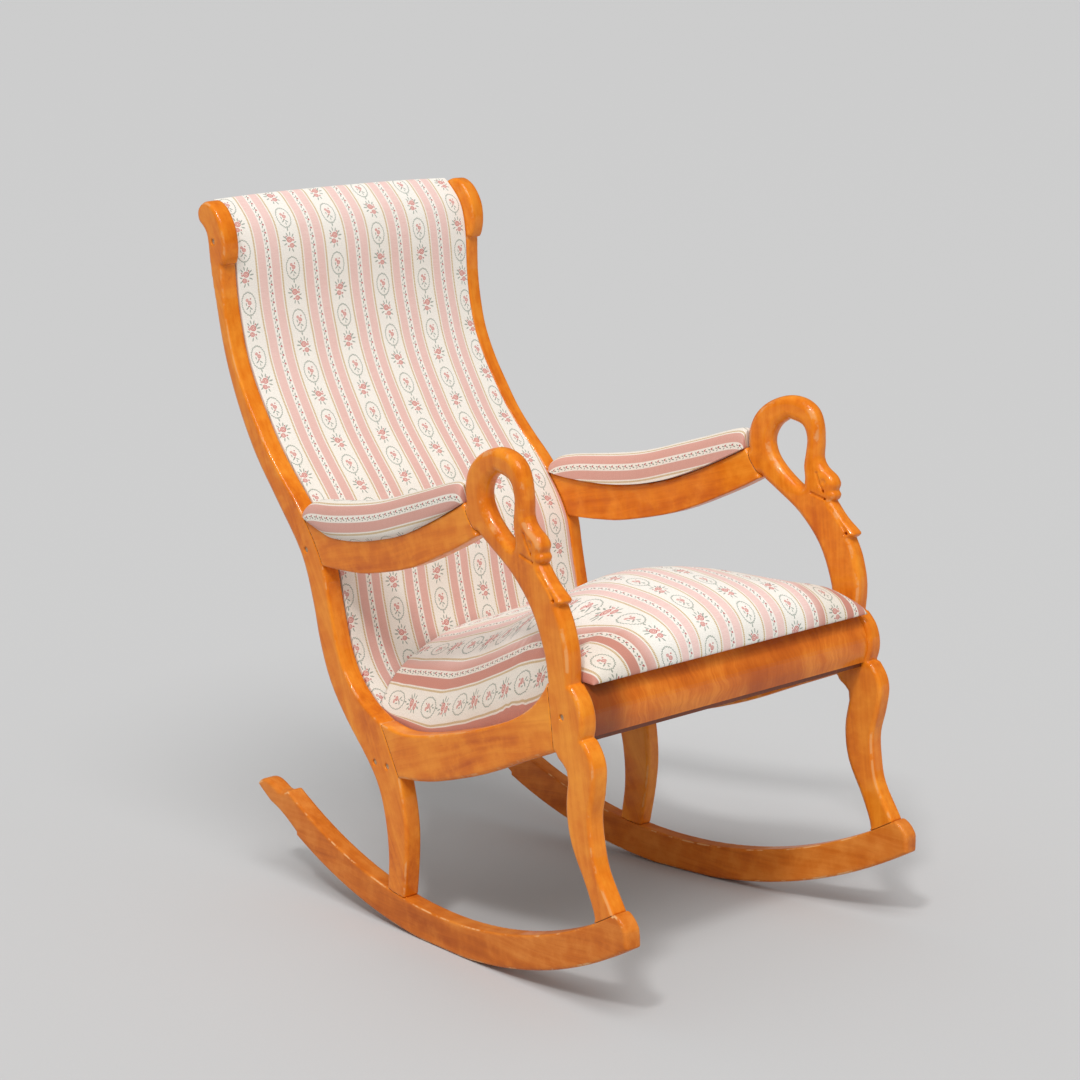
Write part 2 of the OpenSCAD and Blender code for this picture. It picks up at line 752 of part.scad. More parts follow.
module outer_back_cover() {
    low = frame_z(on_square(rear_rail_centre_share), frame_t) + rear_rail_h / 2;
    rear = [for (q = stile_back) if (q[1] > low) inner_yz(q)];
    color(cloth_rose)
        between_frames()
            centred()
                across()
                    polygon(concat(beside(rear, -cover_inset),
                        reversed(beside(rear, -cover_inset - cover_t))));
}

// Seat: shell of the stuffing, from the front rail to the face of the back
seat_across = 20;
seat_along = 2;
front_top = barrel[0][1];
seat_line = smooth([for (q = seat_line_shares)
    inner_yz([q[0] * square_s, front_top + seat_crown * q[1]])], seat_along);
seat_side = [for (q = seat_side_shares) inner_yz(on_square(q))];
seat_rows = len(seat_line);
back_face = [for (q = back_outer) if (q[1] < crest_low_z) [q[1], q[0]]];
function seat_side_z(y) = lookup(y, seat_side);
function canvas_z(y) = web_front[1] - (y - web_front[0]) * tan(seat_pitch)
    + (seat_web_t + spring_h + canvas_t + 2 * soft_gap) / cos(seat_pitch);
// The rear wall leans with the back and leaves room for its crown
function seat_y(j, u, z) = let (y = seat_line[j][0],
        limit = lookup(z, back_face) - back_crown * bulge(u) - 2 * soft_gap)
    min(y, limit);
function side_round(j, u) = let (f = max(0, (j - seat_rows / 2) / (seat_rows / 2)))
    pow(max(0, 1 - pow(abs(u), crown_spread)), crown_swell_front * (1 - f) + crown_swell_rear * f);
function seat_top(j, u) = let (line = seat_line[j], edge = seat_side_z(line[0]),
        z = edge + soft_gap + (line[1] - edge) * side_round(j, u))
    [seat_y(j, u, z), z];
// Hollow for the springs: the share of the half width that it reaches, the
// share over which its roof falls there, and its rows at the front and rear
hollow_reach_share = 0.94;
hollow_fall_share = 0.16;
hollow_front_rows = 5;
hollow_rear_rows = 1;
hollow_fall_rows = 3;
function hollow(j, u) = max(0, min(1, (hollow_reach_share - abs(u)) / hollow_fall_share,
    (j - hollow_front_rows) / hollow_fall_rows,
    (seat_rows - 1 - hollow_rear_rows - j) / hollow_fall_rows));
function seat_floor(j, u) = let (line = seat_line[j], edge = seat_side_z(line[0]) - seat_tuck(line[0]),
        z = edge + (min(canvas_z(line[0]), line[1] - seat_shell) - edge) * hollow(j, u))
    [seat_y(j, u, z), z];
// Depth that the stuffing reaches below the rails' top edges, behind the front rail
seat_tuck_depth = 14;
front_core_back = inner_yz([core_back_s, front_top])[0];
function seat_tuck(y) = y > front_core_back + 2 * soft_gap ? seat_tuck_depth : 0;
// Least thickness of the stuffing over the canvas
seat_shell = 20;

module seat_cushion() {
    columns = seat_across + 1;
    top = [for (j = [0 : seat_rows - 1]) for (i = [0 : seat_across])
        let (u = station(i, seat_across)) out_at(u, seat_top(j, u))];
    floor_points = [for (j = [0 : seat_rows - 1]) for (i = [0 : seat_across])
        let (u = station(i, seat_across)) out_at(u, seat_floor(j, u))];
    base = len(top);
    top_faces = [for (j = [0 : seat_rows - 2]) for (i = [0 : seat_across - 1])
        for (f = [[0, 1, columns], [1, columns + 1, columns]])
            [for (k = f) j * columns + i + k]];
    floor_faces = [for (f = top_faces) [base + f[2], base + f[1], base + f[0]]];
    rim = concat([for (i = [0 : seat_across - 1]) i],
        [for (j = [0 : seat_rows - 2]) j * columns + seat_across],
        [for (i = [seat_across : -1 : 1]) (seat_rows - 1) * columns + i],
        [for (j = [seat_rows - 1 : -1 : 1]) j * columns]);
    rim_faces = [for (k = [0 : len(rim) - 1]) let (a = rim[k], b = rim[(k + 1) % len(rim)])
        for (f = [[a, base + a, b], [b, base + a, base + b]]) f];
    color(cloth_cream)
        centred()
            polyhedron(points = concat(top, floor_points),
                faces = concat([for (f = top_faces) reversed(f)],
                    [for (f = floor_faces) reversed(f)],
                    [for (f = rim_faces) reversed(f)]));
}

// Arm pad: stations along the rail, each a crowned section
pad_sides = 10;
pad_crown_line = smooth_squares(pad_crown_shares, 2);
arm_top_line = smooth_squares(arm_top_shares);
pad_stations = len(pad_crown_line) - 1;
// How full a pad is: along its run, at its shoulders and over its top
pad_run_power = 0.5;
pad_shoulder_power = 0.7;
pad_top_power = 0.75;
function pad_half(f) = frame_t / 2 + pad_rear_over * (1 - f) + pad_front_over * f
    + (pad_over - max(pad_rear_over, pad_front_over)) * pow(sin(180 * f), pad_run_power);
// Height of a line of points at a place along the run
function level(line, s) = lookup(-s, [for (c = line) [-c[0], c[1]]]);
function pad_low(i) = level(arm_top_line, pad_crown_line[i][0]) + soft_gap;
function pad_rise(i) = max(pad_least, pad_crown_line[i][1] - pad_low(i));
pad_drape_line = on_squares(pad_drape_shares);
function pad_drape(i) = level(pad_drape_line, pad_crown_line[i][0]);
// Least height of a pad, at its rear tip
pad_least = 6;

module arm_pad(side) {
    ring = pad_sides + 3;
    points = [for (i = [0 : pad_stations])
        let (s = pad_crown_line[i][0], low = pad_low(i), rise = pad_rise(i), drape = pad_drape(i),
            half = pad_half(i / pad_stations))
            for (q = concat([[-soft_gap, low - drape]],
                [for (k = [0 : pad_sides]) let (a = 180 * k / pad_sides)
                    [frame_t / 2 - half * sign(cos(a)) * pow(abs(cos(a)), pad_shoulder_power),
                        low + rise * pow(sin(a), pad_top_power) - (k == 0 ? drape / 2 : 0)]],
                [[-soft_gap, low]]))
                [q[0], s, q[1]]];
    cap = [for (k = [0 : ring - 3]) [k, k + 1, ring - 1]];
    faces = concat(
        [for (f = cap) reversed(f)],
        [for (i = [0 : pad_stations - 1]) for (k = [0 : ring - 1])
            let (a = i * ring + k, b = i * ring + (k + 1) % ring)
                for (f = [[a, b, a + ring], [b, b + ring, a + ring]])
                    f],
        [for (f = cap) [for (k = f) pad_stations * ring + k]]);
    color(cloth_rose)
        on_frame(side)
            polyhedron(points = points, faces = faces);
}

rocker(-1);  // right_rocker
rocker(1);  // left_rocker
rear_stile(-1);  // right_rear_stile
rear_stile(1);  // left_rear_stile
front_leg(-1);  // right_front_leg
front_leg(1);  // left_front_leg
side_rail(-1);  // right_side_rail
side_rail(1);  // left_side_rail
arm_rail(-1);  // right_arm_rail
arm_rail(1);  // left_arm_rail
arm_pad(-1);  // right_arm_pad
arm_pad(1);  // left_arm_pad
front_rail_core();
front_rail_veneer();
front_rail_moulding();
rear_seat_rail();
lumbar_rail();
crest_rail();
frame_screws(-1);  // right_frame_screws
frame_screws(1);  // left_frame_screws
seat_webbing();
seat_springs();
spring_canvas();
seat_cushion();
back_webbing();
back_cushion();
outer_back_cover();
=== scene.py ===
"""Finished look of a bow rocking chair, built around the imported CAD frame."""

import math

import bpy
import numpy as np
from mathutils import Matrix, Vector
from mathutils.bvhtree import BVHTree


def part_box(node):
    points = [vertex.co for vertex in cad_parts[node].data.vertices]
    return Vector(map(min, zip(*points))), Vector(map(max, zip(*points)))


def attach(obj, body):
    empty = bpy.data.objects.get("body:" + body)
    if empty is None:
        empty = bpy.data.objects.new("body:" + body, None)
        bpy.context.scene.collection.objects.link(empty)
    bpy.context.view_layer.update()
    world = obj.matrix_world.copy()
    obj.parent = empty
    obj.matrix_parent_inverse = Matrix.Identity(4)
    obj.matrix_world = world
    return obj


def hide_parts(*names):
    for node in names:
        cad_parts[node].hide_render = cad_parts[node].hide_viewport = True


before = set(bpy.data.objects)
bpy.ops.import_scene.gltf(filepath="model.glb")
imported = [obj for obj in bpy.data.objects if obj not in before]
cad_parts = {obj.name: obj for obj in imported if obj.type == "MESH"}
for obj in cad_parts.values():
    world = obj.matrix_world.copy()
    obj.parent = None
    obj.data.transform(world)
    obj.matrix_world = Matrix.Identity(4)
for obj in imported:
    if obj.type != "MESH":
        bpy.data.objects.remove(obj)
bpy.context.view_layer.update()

# Sizes that repeat the source's own values, in metres and radians. The screws' places are runs
# and heights in squares.
MM = 0.001
TRACK_W = 545 * MM
FRAME_T = 29 * MM
TOE_IN = math.radians(5)
LEAN = math.radians(2.3)
ORIGIN_Y = 54.662 * MM
SQUARE = 10 * MM
SCREW_PLACES = ((49.7, 100.2), (29, 55.5), (-30.4, 42.1), (13.8, 25.5), (10.8, 25.5))
SCREW_HEAD_R = 4.5 * MM
SCREW_HEAD_DEPTH = 5.5 * MM
SIDES = {"right": 1, "left": -1}

# Camera, solved from the photo's perspective
CAMERA_PLACE = Vector((-3.1537, -3.20796, 1.5516))
CAMERA_AZIMUTH = math.radians(-44.447)
CAMERA_ELEVATION = math.radians(12.366)
CAMERA_LENS = 101.68
CAMERA_SENSOR = 36
CAMERA_REACH = 200


def placed(name, data):
    """A new object in the scene that holds the data."""
    made = bpy.data.objects.new(name, data)
    bpy.context.scene.collection.objects.link(made)
    return made


def bearing(azimuth, elevation):
    """Way from the chair to something that stands at these angles, both 0 straight in front."""
    flat = math.cos(elevation)
    return Vector((math.sin(azimuth) * flat, -math.cos(azimuth) * flat, math.sin(elevation)))


def make_camera():
    back = bearing(CAMERA_AZIMUTH, CAMERA_ELEVATION)
    right = Vector((math.cos(CAMERA_AZIMUTH), math.sin(CAMERA_AZIMUTH), 0))
    up = back.cross(right)
    data = bpy.data.cameras.new("camera")
    data.lens = CAMERA_LENS
    data.sensor_width = CAMERA_SENSOR
    data.clip_end = CAMERA_REACH
    camera = placed("camera", data)
    camera.matrix_world = Matrix((
        (right.x, up.x, back.x, CAMERA_PLACE.x),
        (right.y, up.y, back.y, CAMERA_PLACE.y),
        (right.z, up.z, back.z, CAMERA_PLACE.z),
        (0, 0, 0, 1)))
    bpy.context.scene.camera = camera


# Shader trees

def operation(kind):
    """A method of a term that adds a math node of this kind."""
    def method(term, *others):
        return term.shader.math(kind, term, *others)
    return method


class Term:
    """A number in a shader's node tree; sums and products of terms add its math nodes."""

    __add__ = operation("ADD")
    __sub__ = operation("SUBTRACT")
    __mul__ = operation("MULTIPLY")
    __truediv__ = operation("DIVIDE")
    __abs__ = operation("ABSOLUTE")
    floor = operation("FLOOR")
    fract = operation("FRACT")
    sine = operation("SINE")
    power = operation("POWER")
    least = operation("MINIMUM")
    most = operation("MAXIMUM")

    def __init__(self, shader, socket):
        self.shader = shader
        self.socket = socket

    def step(self, low, high):
        """0 below low, 1 above high, and smooth between them; low may lie above high."""
        falling = low > high
        node = self.shader.node("ShaderNodeMapRange", interpolation_type="SMOOTHSTEP", clamp=True)
        values = {"Value": self, "From Min": min(low, high), "From Max": max(low, high),
                  "To Min": float(falling), "To Max": float(not falling)}
        return self.shader.filled_in(node, values, "Result")


class Shader:
    """One material and the nodes that are added to it."""

    def __init__(self, name):
        self.material = bpy.data.materials.new(name)
        self.material.use_nodes = True
        self.nodes = self.material.node_tree.nodes
        self.links = self.material.node_tree.links
        self.surface = self.nodes["Principled BSDF"]

    def node(self, kind, **settings):
        new = self.nodes.new(kind)
        for key, value in settings.items():
            setattr(new, key, value)
        return new

    def put(self, socket, value):
        """Links a term or a socket to an input, or sets the input's own value."""
        if isinstance(value, Term):
            value = value.socket
        if isinstance(value, bpy.types.NodeSocket):
            self.links.new(value, socket)
        else:
            socket.default_value = value

    def math(self, operation, first, second=None):
        """A math node, as the term that it gives."""
        node = self.node("ShaderNodeMath", operation=operation)
        self.put(node.inputs[0], first)
        if second is not None:
            self.put(node.inputs[1], second)
        return Term(self, node.outputs[0])

    def filled_in(self, node, values, output):
        """One output of a node as a term, once its named inputs are set."""
        for name, value in values.items():
            self.put(node.inputs[name], value)
        return Term(self, node.outputs[output])

    def attribute(self, name):
        """Value of a mesh attribute that holds one number for each point."""
        node = self.node("ShaderNodeAttribute", attribute_name=name)
        return Term(self, node.outputs["Fac"])

    def vector_attribute(self, name):
        """The three values of a mesh attribute that holds a vector for each point."""
        return self.split(self.node("ShaderNodeAttribute", attribute_name=name).outputs["Vector"])

    def place(self):
        """Place in the object's own coordinates."""
        return self.node("ShaderNodeTexCoord").outputs["Object"]

    def split(self, vector):
        node = self.node("ShaderNodeSeparateXYZ")
        self.put(node.inputs[0], vector)
        return [Term(self, s) for s in node.outputs]

    def join(self, x, y, z=0.0):
        node = self.node("ShaderNodeCombineXYZ")
        for socket, value in zip(node.inputs, (x, y, z)):
            self.put(socket, value)
        return node.outputs[0]

    def noise(self, vector, scale, detail, rough):
        values = {"Vector": vector, "Scale": scale, "Detail": detail, "Roughness": rough}
        return self.filled_in(self.node("ShaderNodeTexNoise"), values, "Fac")

    def streaks(self, terms, scales, detail, rough):
        """Noise that is stretched by its own scale along each of the terms."""
        return self.noise(self.join(*(t * k for t, k in zip(terms, scales))), 1, detail, rough)

    def mix(self, share, first, second, blend="MIX"):
        node = self.node("ShaderNodeMix", data_type="RGBA", blend_type=blend)
        self.put(node.inputs["Factor"], share)
        self.put(node.inputs["A"], self.colour(first))
        self.put(node.inputs["B"], self.colour(second))
        return node.outputs["Result"]

    def colour(self, value):
        return (*value, 1.0) if isinstance(value, tuple) and len(value) == 3 else value

    def ramp(self, value, places, colours, interpolation="LINEAR"):
        """A colour that runs through the given colours, each at its place from 0 to 1."""
        node = self.node("ShaderNodeValToRGB")
        node.color_ramp.interpolation = interpolation
        self.put(node.inputs[0], value)
        elements = node.color_ramp.elements
        while len(elements) < len(places):
            elements.new(0.5)
        for element, place, colour in zip(elements, places, colours):
            element.position = place
            element.color = self.colour(colour)
        return node.outputs["Color"]

    def pick(self, number, values):
        """The value whose place in the list is the whole number that comes in."""
        count = len(values)
        places = [k / count for k in range(count)]
        greys = [(value,) * 3 for value in values]
        return self.split(self.ramp((number + 0.5) / count, places, greys, "CONSTANT"))[0]

    def bump(self, height, distance, strength):
        values = {"Strength": strength, "Distance": distance, "Height": height}
        self.put(self.surface.inputs["Normal"], self.filled_in(self.node("ShaderNodeBump"), values, 0))

    def finish(self, colour, rough, **values):
        """Sets the surface's colour, roughness and named values, and gives the material."""
        self.put(self.surface.inputs["Base Color"], colour)
        self.put(self.surface.inputs["Roughness"], rough)
        for name, value in values.items():
            self.put(self.surface.inputs[name.replace("_", " ")], value)
        return self.material


def srgb(red, green, blue):
    """Linear colour for a colour whose channels are written in 0 to 255."""
    shares = (c / 255 for c in (red, green, blue))
    return tuple(c / 12.92 if c <= 0.04045 else ((c + 0.055) / 1.055) ** 2.4 for c in shares)


# Wood. Scales are per metre, across the grain, into the plank and along the grain.

WOOD_WARP_SCALES = (7, 7, 3)
WOOD_WARP = 0.05
WOOD_STREAK_SCALES = (130, 130, 5)
WOOD_BROAD_SCALES = (20, 20, 4)
WOOD_CURL_SCALES = (30, 30, 34)
WOOD_PORE_SCALES = (900, 900, 30)
WOOD_PORE_SHARE = 0.35
WOOD_STOPS = (0.30, 0.48, 0.68)
WOOD_BUMP = 0.00014
SCUFF_SCALE = 26
JOINT_LINE = srgb(52, 22, 8)
JOINT_LINE_ENDS = (0.0007, 0.0002)
JOINT_LINE_SHARE = 0.85
HONEY = srgb(244, 154, 46), srgb(222, 119, 20), srgb(184, 80, 8)
WORN_HONEY = srgb(228, 142, 58), srgb(204, 108, 26), srgb(158, 68, 10)
# Pale colour of the patches on the rounded edges: partly wear scuffs, partly a painted highlight
PALE_SCUFF_AND_HIGHLIGHT = srgb(226, 172, 116)


def wood(name, colours, rough, coat, figure, wear_and_highlight):
    """Sawn and varnished wood whose grain follows the vector attribute "grain"."""
    pale, mid, dark = colours
    s = Shader(name)
    across, depth, along = s.vector_attribute("grain")
    across = across + (s.streaks((across, depth, along), WOOD_WARP_SCALES, 2, 0.5) - 0.5) * WOOD_WARP
    grain = (across, depth, along)
    streaks = s.streaks(grain, WOOD_STREAK_SCALES, 6, 0.62)
    broad = s.streaks(grain, WOOD_BROAD_SCALES, 4, 0.55)
    curl = s.streaks(grain, WOOD_CURL_SCALES, 4, 0.6)
    pores = s.streaks(grain, WOOD_PORE_SCALES, 2, 0.6)
    tone = broad * 0.55 + streaks * 0.25 + curl * 0.2
    colour = s.ramp(tone, WOOD_STOPS, (dark, mid, pale))
    colour = s.mix(curl.step(0.44, 0.72) * figure, colour, pale)
    colour = s.mix(pores.step(0.58, 0.78) * WOOD_PORE_SHARE, colour, dark)
    rim = s.attribute("rim")
    scuffs = s.noise(s.place(), SCUFF_SCALE, 4, 0.65)
    # Pale patches along the rounded edges, broken up by noise: partly wear scuffs and partly a painted
    # highlight on the edges
    rubbed_and_highlit = rim.step(0.2, 0.45) * rim.step(0.92, 0.7) * scuffs.step(0.50, 0.60) * wear_and_highlight
    colour = s.mix(rubbed_and_highlit, colour, PALE_SCUFF_AND_HIGHLIGHT)
    joint = s.attribute("joint").step(*JOINT_LINE_ENDS) * JOINT_LINE_SHARE
    colour = s.mix(joint, colour, JOINT_LINE)
    s.bump(pores + streaks * 0.6 + scuffs * 0.5, WOOD_BUMP, 0.5)
    shine = tone * 0.12 + rubbed_and_highlit * 0.25 + rough
    return s.finish(colour, shine, Coat_Weight=coat, Coat_Roughness=0.06, Specular_IOR_Level=0.1)


LONG_GRAIN = 0.08
PLAIN_BUMP = 0.0002


def plain_finish(name, colours, scale, rough, metal=0.0):
    """Close grain from the object's own coordinates, for pieces that mostly stay hidden."""
    pale, dark = colours
    s = Shader(name)
    place = s.place()
    x, y, z = s.split(place)
    long_grain = s.noise(s.join(x * LONG_GRAIN, y, z), scale, 4, 0.6)
    fine = s.noise(place, scale * 4, 2, 0.5)
    colour = s.ramp(long_grain * 0.7 + fine * 0.3, (0.3, 0.7), (dark, pale))
    s.bump(fine, PLAIN_BUMP, 0.4)
    return s.finish(colour, fine * 0.15 + rough, Metallic=metal)


WEAVE_TURN = 0.35
FIBRE_SCALES = (40, 400, 400)
YARN_BUMP = 0.0004


def woven_jute(name, colours, pitch):
    """Plain coarse weave of thick yarns, from the cloth's own coordinates."""
    pale, dark = colours
    s = Shader(name)
    x, y, z = s.vector_attribute("cloth")
    run = y * math.cos(WEAVE_TURN) - z * math.sin(WEAVE_TURN)
    turns = 2 * math.pi / pitch
    yarns = (x * turns).sine() * (run * turns).sine()
    fibres = s.streaks((x, y, z), FIBRE_SCALES, 3, 0.7)
    colour = s.ramp(fibres * 0.6 + (yarns + 1) * 0.2, (0.25, 0.75), (dark, pale))
    s.bump(yarns + fibres, YARN_BUMP, 0.8)
    return s.finish(colour, fibres * 0.1 + 0.8, Sheen_Weight=0.2)


VENEER_PALE = srgb(238, 144, 48)
VENEER_MID = srgb(212, 110, 26)
VENEER_DARK = srgb(174, 76, 12)
VENEER_PURPLE = srgb(104, 38, 18)
VENEER_STOPS = (0.32, 0.50, 0.66)
VENEER_WARP_SCALES = (9, 16, 16)
VENEER_WARP = 0.06
VENEER_FLAME_SCALES = (34, 12, 12)
VENEER_STREAK_SCALES = (240, 20, 20)
VENEER_BROAD_SCALES = (7, 18, 18)
VENEER_CLOUD_SCALES = (12, 20, 20)
VENEER_BUMP = 0.00008
NEAR_END = (-0.20, -0.262)
PATCH_START = (-0.015, 0.045)
PATCH_END = (0.185, 0.125)


def figured_veneer(name):
    """Upright flame figure under gloss varnish, darker near one end and past the middle."""
    s = Shader(name)
    x, y, z = s.split(s.place())
    warped = x + (s.streaks((x, z, y), VENEER_WARP_SCALES, 3, 0.5) - 0.5) * VENEER_WARP
    flame = s.streaks((warped, z, y), VENEER_FLAME_SCALES, 5, 0.6)
    streaks = s.streaks((warped, z, y), VENEER_STREAK_SCALES, 3, 0.6)
    broad = s.streaks((x, z, y), VENEER_BROAD_SCALES, 2, 0.5)
    cloud = s.streaks((x, z, y), VENEER_CLOUD_SCALES, 2, 0.5).step(0.35, 0.65)
    tone = flame * 0.4 + streaks * 0.2 + broad * 0.4
    colour = s.ramp(tone, VENEER_STOPS, (VENEER_DARK, VENEER_MID, VENEER_PALE))
    colour = s.mix(x.step(*NEAR_END) * 0.75, colour, VENEER_PURPLE)
    patch = x.step(*PATCH_START) * x.step(*PATCH_END)
    colour = s.mix(patch * (cloud * 0.35 + 0.25), colour, VENEER_DARK)
    s.bump(streaks, VENEER_BUMP, 0.4)
    return s.finish(colour, tone * 0.1 + 0.3, Coat_Weight=0.5, Coat_Roughness=0.1, Specular_IOR_Level=0.15)


# Striped cloth, in mm of the woven cloth: "u" across the stripes and "v" along them

BAND_PITCH = 89.5
MOTIF_REPEAT = 81.5
BUDS_IN_REPEAT = 6
BUD_PITCH = MOTIF_REPEAT / BUDS_IN_REPEAT
GROUND_HALF = 19.5
ROPE_END = 22.5
MARGIN_END = 24.5
PINK_END = 39.3
DOT_PITCH = 2.4
WEAVE_PITCH = 0.55
CLOTH_BUMP = 0.00008
SOIL_SCALE = 7
CREAM = srgb(250, 245, 236)
CREAM_SHADE = srgb(230, 226, 216)
PINK = srgb(245, 214, 206)
PINK_SHADE = srgb(238, 201, 192)
# Darker satin pink, mixed in by the "deep" attribute: painted shade on the seat's side walls and the arm
# pads, and a darkening towards the back's foot
PINK_IN_PAINTED_SHADE = srgb(212, 146, 130)
# Tint multiplied in for the random soil and for the darkening of the "deep" attribute, which is painted
# shade on the side walls and pads
SOIL_AND_SHADE_TINT = srgb(206, 184, 156)
ROPE = srgb(200, 164, 96)
LEAF = srgb(133, 147, 134)
VINE_LEAF = srgb(104, 118, 104)
RED = srgb(184, 62, 64)
ROSE = srgb(231, 160, 152)
BLUSH = srgb(244, 208, 196)

# Share of the repeat by which the motifs of each band are shifted. Bands 0 to 5 lie on the
# back, 8 to 14 on the seat and 18 to 20 on the arm pads.
BAND_PHASES = (0.4, 0.824, 0.827, 0.339, 0.338, 0.86, 0, 0,
               0.12, 0.43, 0.443, 0.983, 0.02, 0.881, 0.3, 0,
               0, 0, 0.2, 0.5, 0.8, 0, 0, 0)

# Motifs as ellipses: x, y, half width, half height in mm, turn in degrees
OVAL_LEAVES = ((0, -20.5, 1.1, 2.8, 0), (-3.4, -6.5, 3.2, 1.0, 35), (3.0, -7.3, 3.0, 1.0, -40),
               (-4.8, -0.5, 0.9, 2.5, 10), (0.6, -11, 0.8, 2.4, 0))
OVAL_FLOWERS = ((1.4, 1.4, 3.2, 3.0, 0), (-2.6, 5.6, 2.3, 2.1, 20))
OVAL_BUDS = ((3.8, 7.2, 1.3, 1.1, 30), (-0.4, -3.6, 2.0, 0.8, 10))
SPRAY_LEAVES = ((-8.6, 8, 3.6, 1.1, -35), (-10.6, 3, 3.8, 1.1, -8), (-8.8, -3, 3.4, 1.0, 22),
                (-3.4, 12, 1.0, 3.4, 20), (2.2, 13, 1.0, 3.3, -8), (-6.2, 5.2, 2.6, 0.9, -55),
                (7, 10, 1.0, 3.2, -42), (8.8, -7, 3.2, 1.0, -32), (3.6, -13, 1.0, 3.4, 24),
                (-2.8, -11.5, 1.0, 3.0, -18), (9.2, -1, 2.8, 0.9, 18))
SPRAY_FLOWERS = ((-0.6, 3.8, 4.8, 4.3, 0), (3.0, -5.6, 4.0, 3.4, 10), (6.6, 2.8, 2.0, 1.7, 0))
SPRAY_BUDS = ((-5.6, 9.2, 1.3, 1.3, 0), (7.6, 6.4, 1.2, 1.2, 0), (-3.6, -6.6, 1.5, 1.2, 0))
VINE_DASHES = ((-1.0, -4.2, 0.8, 2.5, -24), (0.9, 3.6, 0.8, 2.3, -24), (-2.6, 1.8, 0.7, 1.6, 40))
VINE_BUDS = ((1.2, -0.4, 1.6, 1.4, 20), (2.4, -1.6, 0.8, 0.9, 0))
EDGE_SOFTNESS = 0.4
OVAL_HALF_SIZES = (12.6, 17.2)
RING_LEAVES = ((26, 0.04), (11, 0.015))
FLOWER_EDGE = 0.92
FLOWER_HEART = 0.42
THREAD_SHADE = srgb(176, 168, 162)


def nearness(shader, place, ellipses):
    """How far a place is from the nearest of the ellipses' middles: 1 on their edges."""
    nearest = None
    for x, y, wide, high, turn in ellipses:
        values = {"Vector": place, "Location": (x, y, 0), "Rotation": (0, 0, math.radians(turn)),
                  "Scale": (wide, high, 1)}
        mapped = shader.filled_in(shader.node("ShaderNodeMapping", vector_type="TEXTURE"), values, 0)
        length = shader.node("ShaderNodeVectorMath", operation="LENGTH")
        away = shader.filled_in(length, {0: mapped}, "Value")
        nearest = away if nearest is None else nearest.least(away)
    return nearest


def blobs(shader, place, ellipses):
    """1 inside any of the ellipses, with soft edges."""
    return nearness(shader, place, ellipses).step(1.12, 0.88)


def vine(shader, colour, away, v):
    """Wavy row of green dashes and red buds along the middle of each narrow cream stripe."""
    turn = (v / BUD_PITCH).fract() - 0.5
    place = shader.join(away, turn * BUD_PITCH)
    colour = shader.mix(blobs(shader, place, VINE_DASHES) * 0.9, colour, VINE_LEAF)
    return shader.mix(blobs(shader, place, VINE_BUDS) * 0.92, colour, RED)


def leafy_oval(shader, p, q):
    """Thin ring of small leaves round the flower of each oval."""
    half_width, half_height = OVAL_HALF_SIZES
    ring = ((p / half_width).power(2) + (q / half_height).power(2)).power(0.5) - 1
    angle = shader.math("ARCTAN2", q, p * 1.3)
    for count, reach in RING_LEAVES:
        ring = ring + (angle * count).sine() * reach
    return abs(ring).step(0.075, 0.03)


def flowers_drawn(shader, colour, flowers):
    """Blushing flowers with rosy rims, whose edges and hearts are drawn in red."""
    colour = shader.mix(flowers.step(1.1, 0.9) * 0.9, colour, BLUSH)
    colour = shader.mix(flowers.step(0.5, 0.95) * flowers.step(1.16, 0.98) * 0.85, colour, ROSE)
    petals = abs(flowers - FLOWER_EDGE).step(0.16, 0.05) + abs(flowers - FLOWER_HEART).step(0.16, 0.06)
    return shader.mix(petals.least(1.0) * 0.8, colour, RED)


def motifs(shader, colour, p, v, band, ragged):
    """Leafy ovals with a flower in them, and rose sprays halfway between them."""
    number = band.floor()
    turn = v / MOTIF_REPEAT + shader.pick(number, BAND_PHASES)
    q = (turn.fract() - 0.5) * MOTIF_REPEAT
    oval = shader.join(p + ragged, q)
    leaves = leafy_oval(shader, p, q).most(blobs(shader, oval, OVAL_LEAVES))
    q = ((turn + 0.5).fract() - 0.5) * MOTIF_REPEAT
    mirror = (number * 0.5).fract() * 4 - 1
    spray = shader.join(p * mirror + ragged, q)
    leaves = leaves.most(blobs(shader, spray, SPRAY_LEAVES))
    colour = shader.mix(leaves * 0.8, colour, LEAF)
    flowers = nearness(shader, oval, OVAL_FLOWERS).least(nearness(shader, spray, SPRAY_FLOWERS))
    colour = flowers_drawn(shader, colour, flowers)
    buds = blobs(shader, oval, OVAL_BUDS).most(blobs(shader, spray, SPRAY_BUDS))
    return shader.mix(buds * 0.85, colour, RED)


def between(away, start, end):
    """1 where a distance lies between two others, with soft edges."""
    soft = EDGE_SOFTNESS
    return away.step(start - soft, start + soft) * away.step(end + soft, end - soft)


def soiled_and_shaded_tones(s, colour, u, v, deep):
    """The cloth's colour with its soil, the darkening that the "deep" attribute gives (painted shade on
    the seat's side walls and the arm pads), and the shade between its threads.
    """
    # The "deep" attribute's darkening, painted shade on the side walls and pads, joins the random soil in
    # one mask
    soil_and_shade = s.noise(s.place(), SOIL_SCALE, 3, 0.6).step(0.50, 0.80) * 0.12 + deep * 0.30
    colour = s.mix(soil_and_shade.least(0.4), colour, SOIL_AND_SHADE_TINT, "MULTIPLY")
    threads = s.streaks((u, v), (0.9, 0.9), 2, 0.7).step(0.40, 0.62) * 0.24
    return s.mix(threads, colour, THREAD_SHADE, "MULTIPLY")


